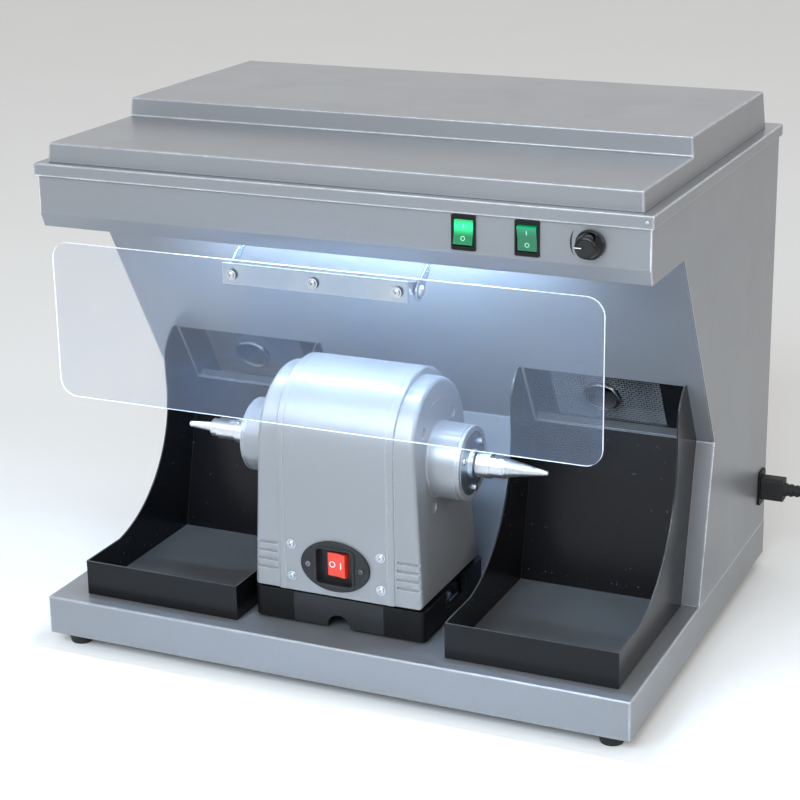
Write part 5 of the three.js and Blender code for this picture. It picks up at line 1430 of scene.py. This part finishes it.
def build_spindles():
    collar = [(152, 0), (152, 8.3), (128, 8.3), (128, 12), (129, 13), (143, 13), (144, 12.2)]
    right = threaded("taper_spindle_right", sized(
        *collar, (144.2, 11.5), (157, 11.5), (158, 10.5), (158.05, 10), (201.2, 2.5), (202.2, 1.8),
        (202.5, 0.9), (202.5, 0),
    ), 158.05 * mm, 201.2 * mm, 10 * mm, 2.5 * mm, 1.5 * mm, 0.55 * mm)
    left = threaded("taper_spindle_left", sized(
        *collar, (144.2, 11.2), (165.6, 11.2), (166, 10.8), (166, 9.6), (173, 9.6), (174, 8.6), (174.05, 5.5),
        (200.9, 3.2), (202.2, 2.2), (202.5, 1.2), (202.5, 0),
    ), 174.05 * mm, 200.9 * mm, 5.5 * mm, 3.2 * mm, 1.2 * mm, 0.45 * mm)
    wide = 20 * mm
    for piece, start, stop in ((right, 144.4, 157), (left, 152, 165.2)):
        for low, high in ((-20, -10), (10, 20)):
            cut(piece, lump(
                "flat_cutter", (start * mm, axis_y - wide, axis_z + low * mm),
                (stop * mm, axis_y + wide, axis_z + high * mm)))
    left.data.transform(MIRROR)
    left.data.flip_normals()
    for piece, side in ((right, "right"), (left, "left")):
        finish(piece, "rotor", turned_steel, ["spindle_" + side], smooth=28)


build_caps()
build_spindles()


# Motor switch

plate_back = cover_front - 0.3 * mm
plate_screw_x = 29.5


def upright_slab(name, y, width, height, radius, depth, segments=8):
    """A slab at the motor switch that faces the front, in millimetres apart from its y."""
    return slab(name, (0, y, plate_z), RIGHT, UP, width * mm, height * mm, radius * mm, depth * mm, segments)


def build_switch_plate():
    """An oval plate with a cup and a body behind it."""
    oval = turned("switch_plate_oval", (0, 0, 0), -BACK, [
        (0, 0), (0, 1), (2.1 * mm, 1), (2.55 * mm, 0.993), (2.9 * mm, 0.978), (3 * mm, 0.955), (3 * mm, 0)])
    stretch = Matrix.Diagonal((38.5 * mm, 1, 27 * mm, 1))
    oval.data.transform(Matrix.Translation((0, plate_back, plate_z)) @ stretch)
    joined(oval, upright_slab("cup_box", -202.5 * mm, 44, 41, 4.5, 12.6, 6))
    joined(oval, upright_slab("switch_body", -193.4 * mm, 26.6, 29.3, 1, 12, 3))
    lip = upright_slab("cup_lip", plate_back - 2.8 * mm, 44.6, 41.6, 5.2, 1.5)
    joined(oval, rounded(lip, 0.6 * mm, 3, 50))
    cut(oval, upright_slab("cup_cutter", plate_back + 6 * mm, 40.6, 37.6, 4, 16))
    cut(oval, upright_slab("slot_cutter", -194.9 * mm, 23.6, 26.3, 0, 20))
    rounded(oval, 0.3 * mm, 2, 50)
    finish(oval, "cabinet", smooth_black, ["switch_plate"])
    for side, x in (("left", -plate_screw_x), ("right", plate_screw_x)):
        place = (x * mm, plate_back - 3 * mm, plate_z)
        set_screw(bare_screw, "plate_screw_" + side, place, "cabinet", core_steel, turn=x)


def build_motor_rocker():
    body = "motor_switch"
    left = face_of("motor_rocker", lambda at, out: out.y < -0.6 and at.x < -mm)
    right = face_of("motor_rocker", lambda at, out: out.y < -0.6 and at.x > mm)
    dress("motor_rocker", "motor_rocker_cap", body, red_plastic, 0.6 * mm)
    ring_mark("motor_rocker_ring", face_matrix(*left), 3.3 * mm, 0.8 * mm, body, mark_white)
    bar_mark("motor_rocker_bar", face_matrix(*right), 1.1 * mm, 7 * mm, body, mark_white)


build_switch_plate()
build_motor_rocker()


# Plinth, mains inlet and back

bolt_low, bolt_high = Vector((68.5, -143.5, 72)) * mm, Vector((95, -120.5, 87)) * mm


def on_bolt(face):
    """True for a face of the bolt that the plinth's mesh carries on its right."""
    place = face.calc_center_median()
    return all(low < along < high for low, along, high in zip(bolt_low, place, bolt_high))


def dress_plinth():
    base = dressed("plinth", "plinth_moulded", 0, 0.9 * mm)
    edit(base)
    pick(base, "faces", on_bolt)
    mark_picked(base)
    finish(base, "cabinet", [grained_black, screw_steel], ["plinth"])


dress_plinth()
dress("plinth_insert", "plinth_insert_moulded", "cabinet", smooth_black, 0.5 * mm)
dress("power_inlet", "power_inlet_moulded", "cabinet", grained_black, 0.5 * mm)
dress("exhaust_grille", "exhaust_grille_moulded", "cabinet", grained_black, 0.4 * mm)
connector = dress("cord_connector", "lead_connector", "cabinet", black_rubber, 0.5 * mm)
plug = dress("mains_plug", "lead_plug", "cabinet", black_rubber, 0.45 * mm)
lead.data.materials.append(black_rubber)
for pattern in patterns:
    bpy.data.objects.remove(pattern)
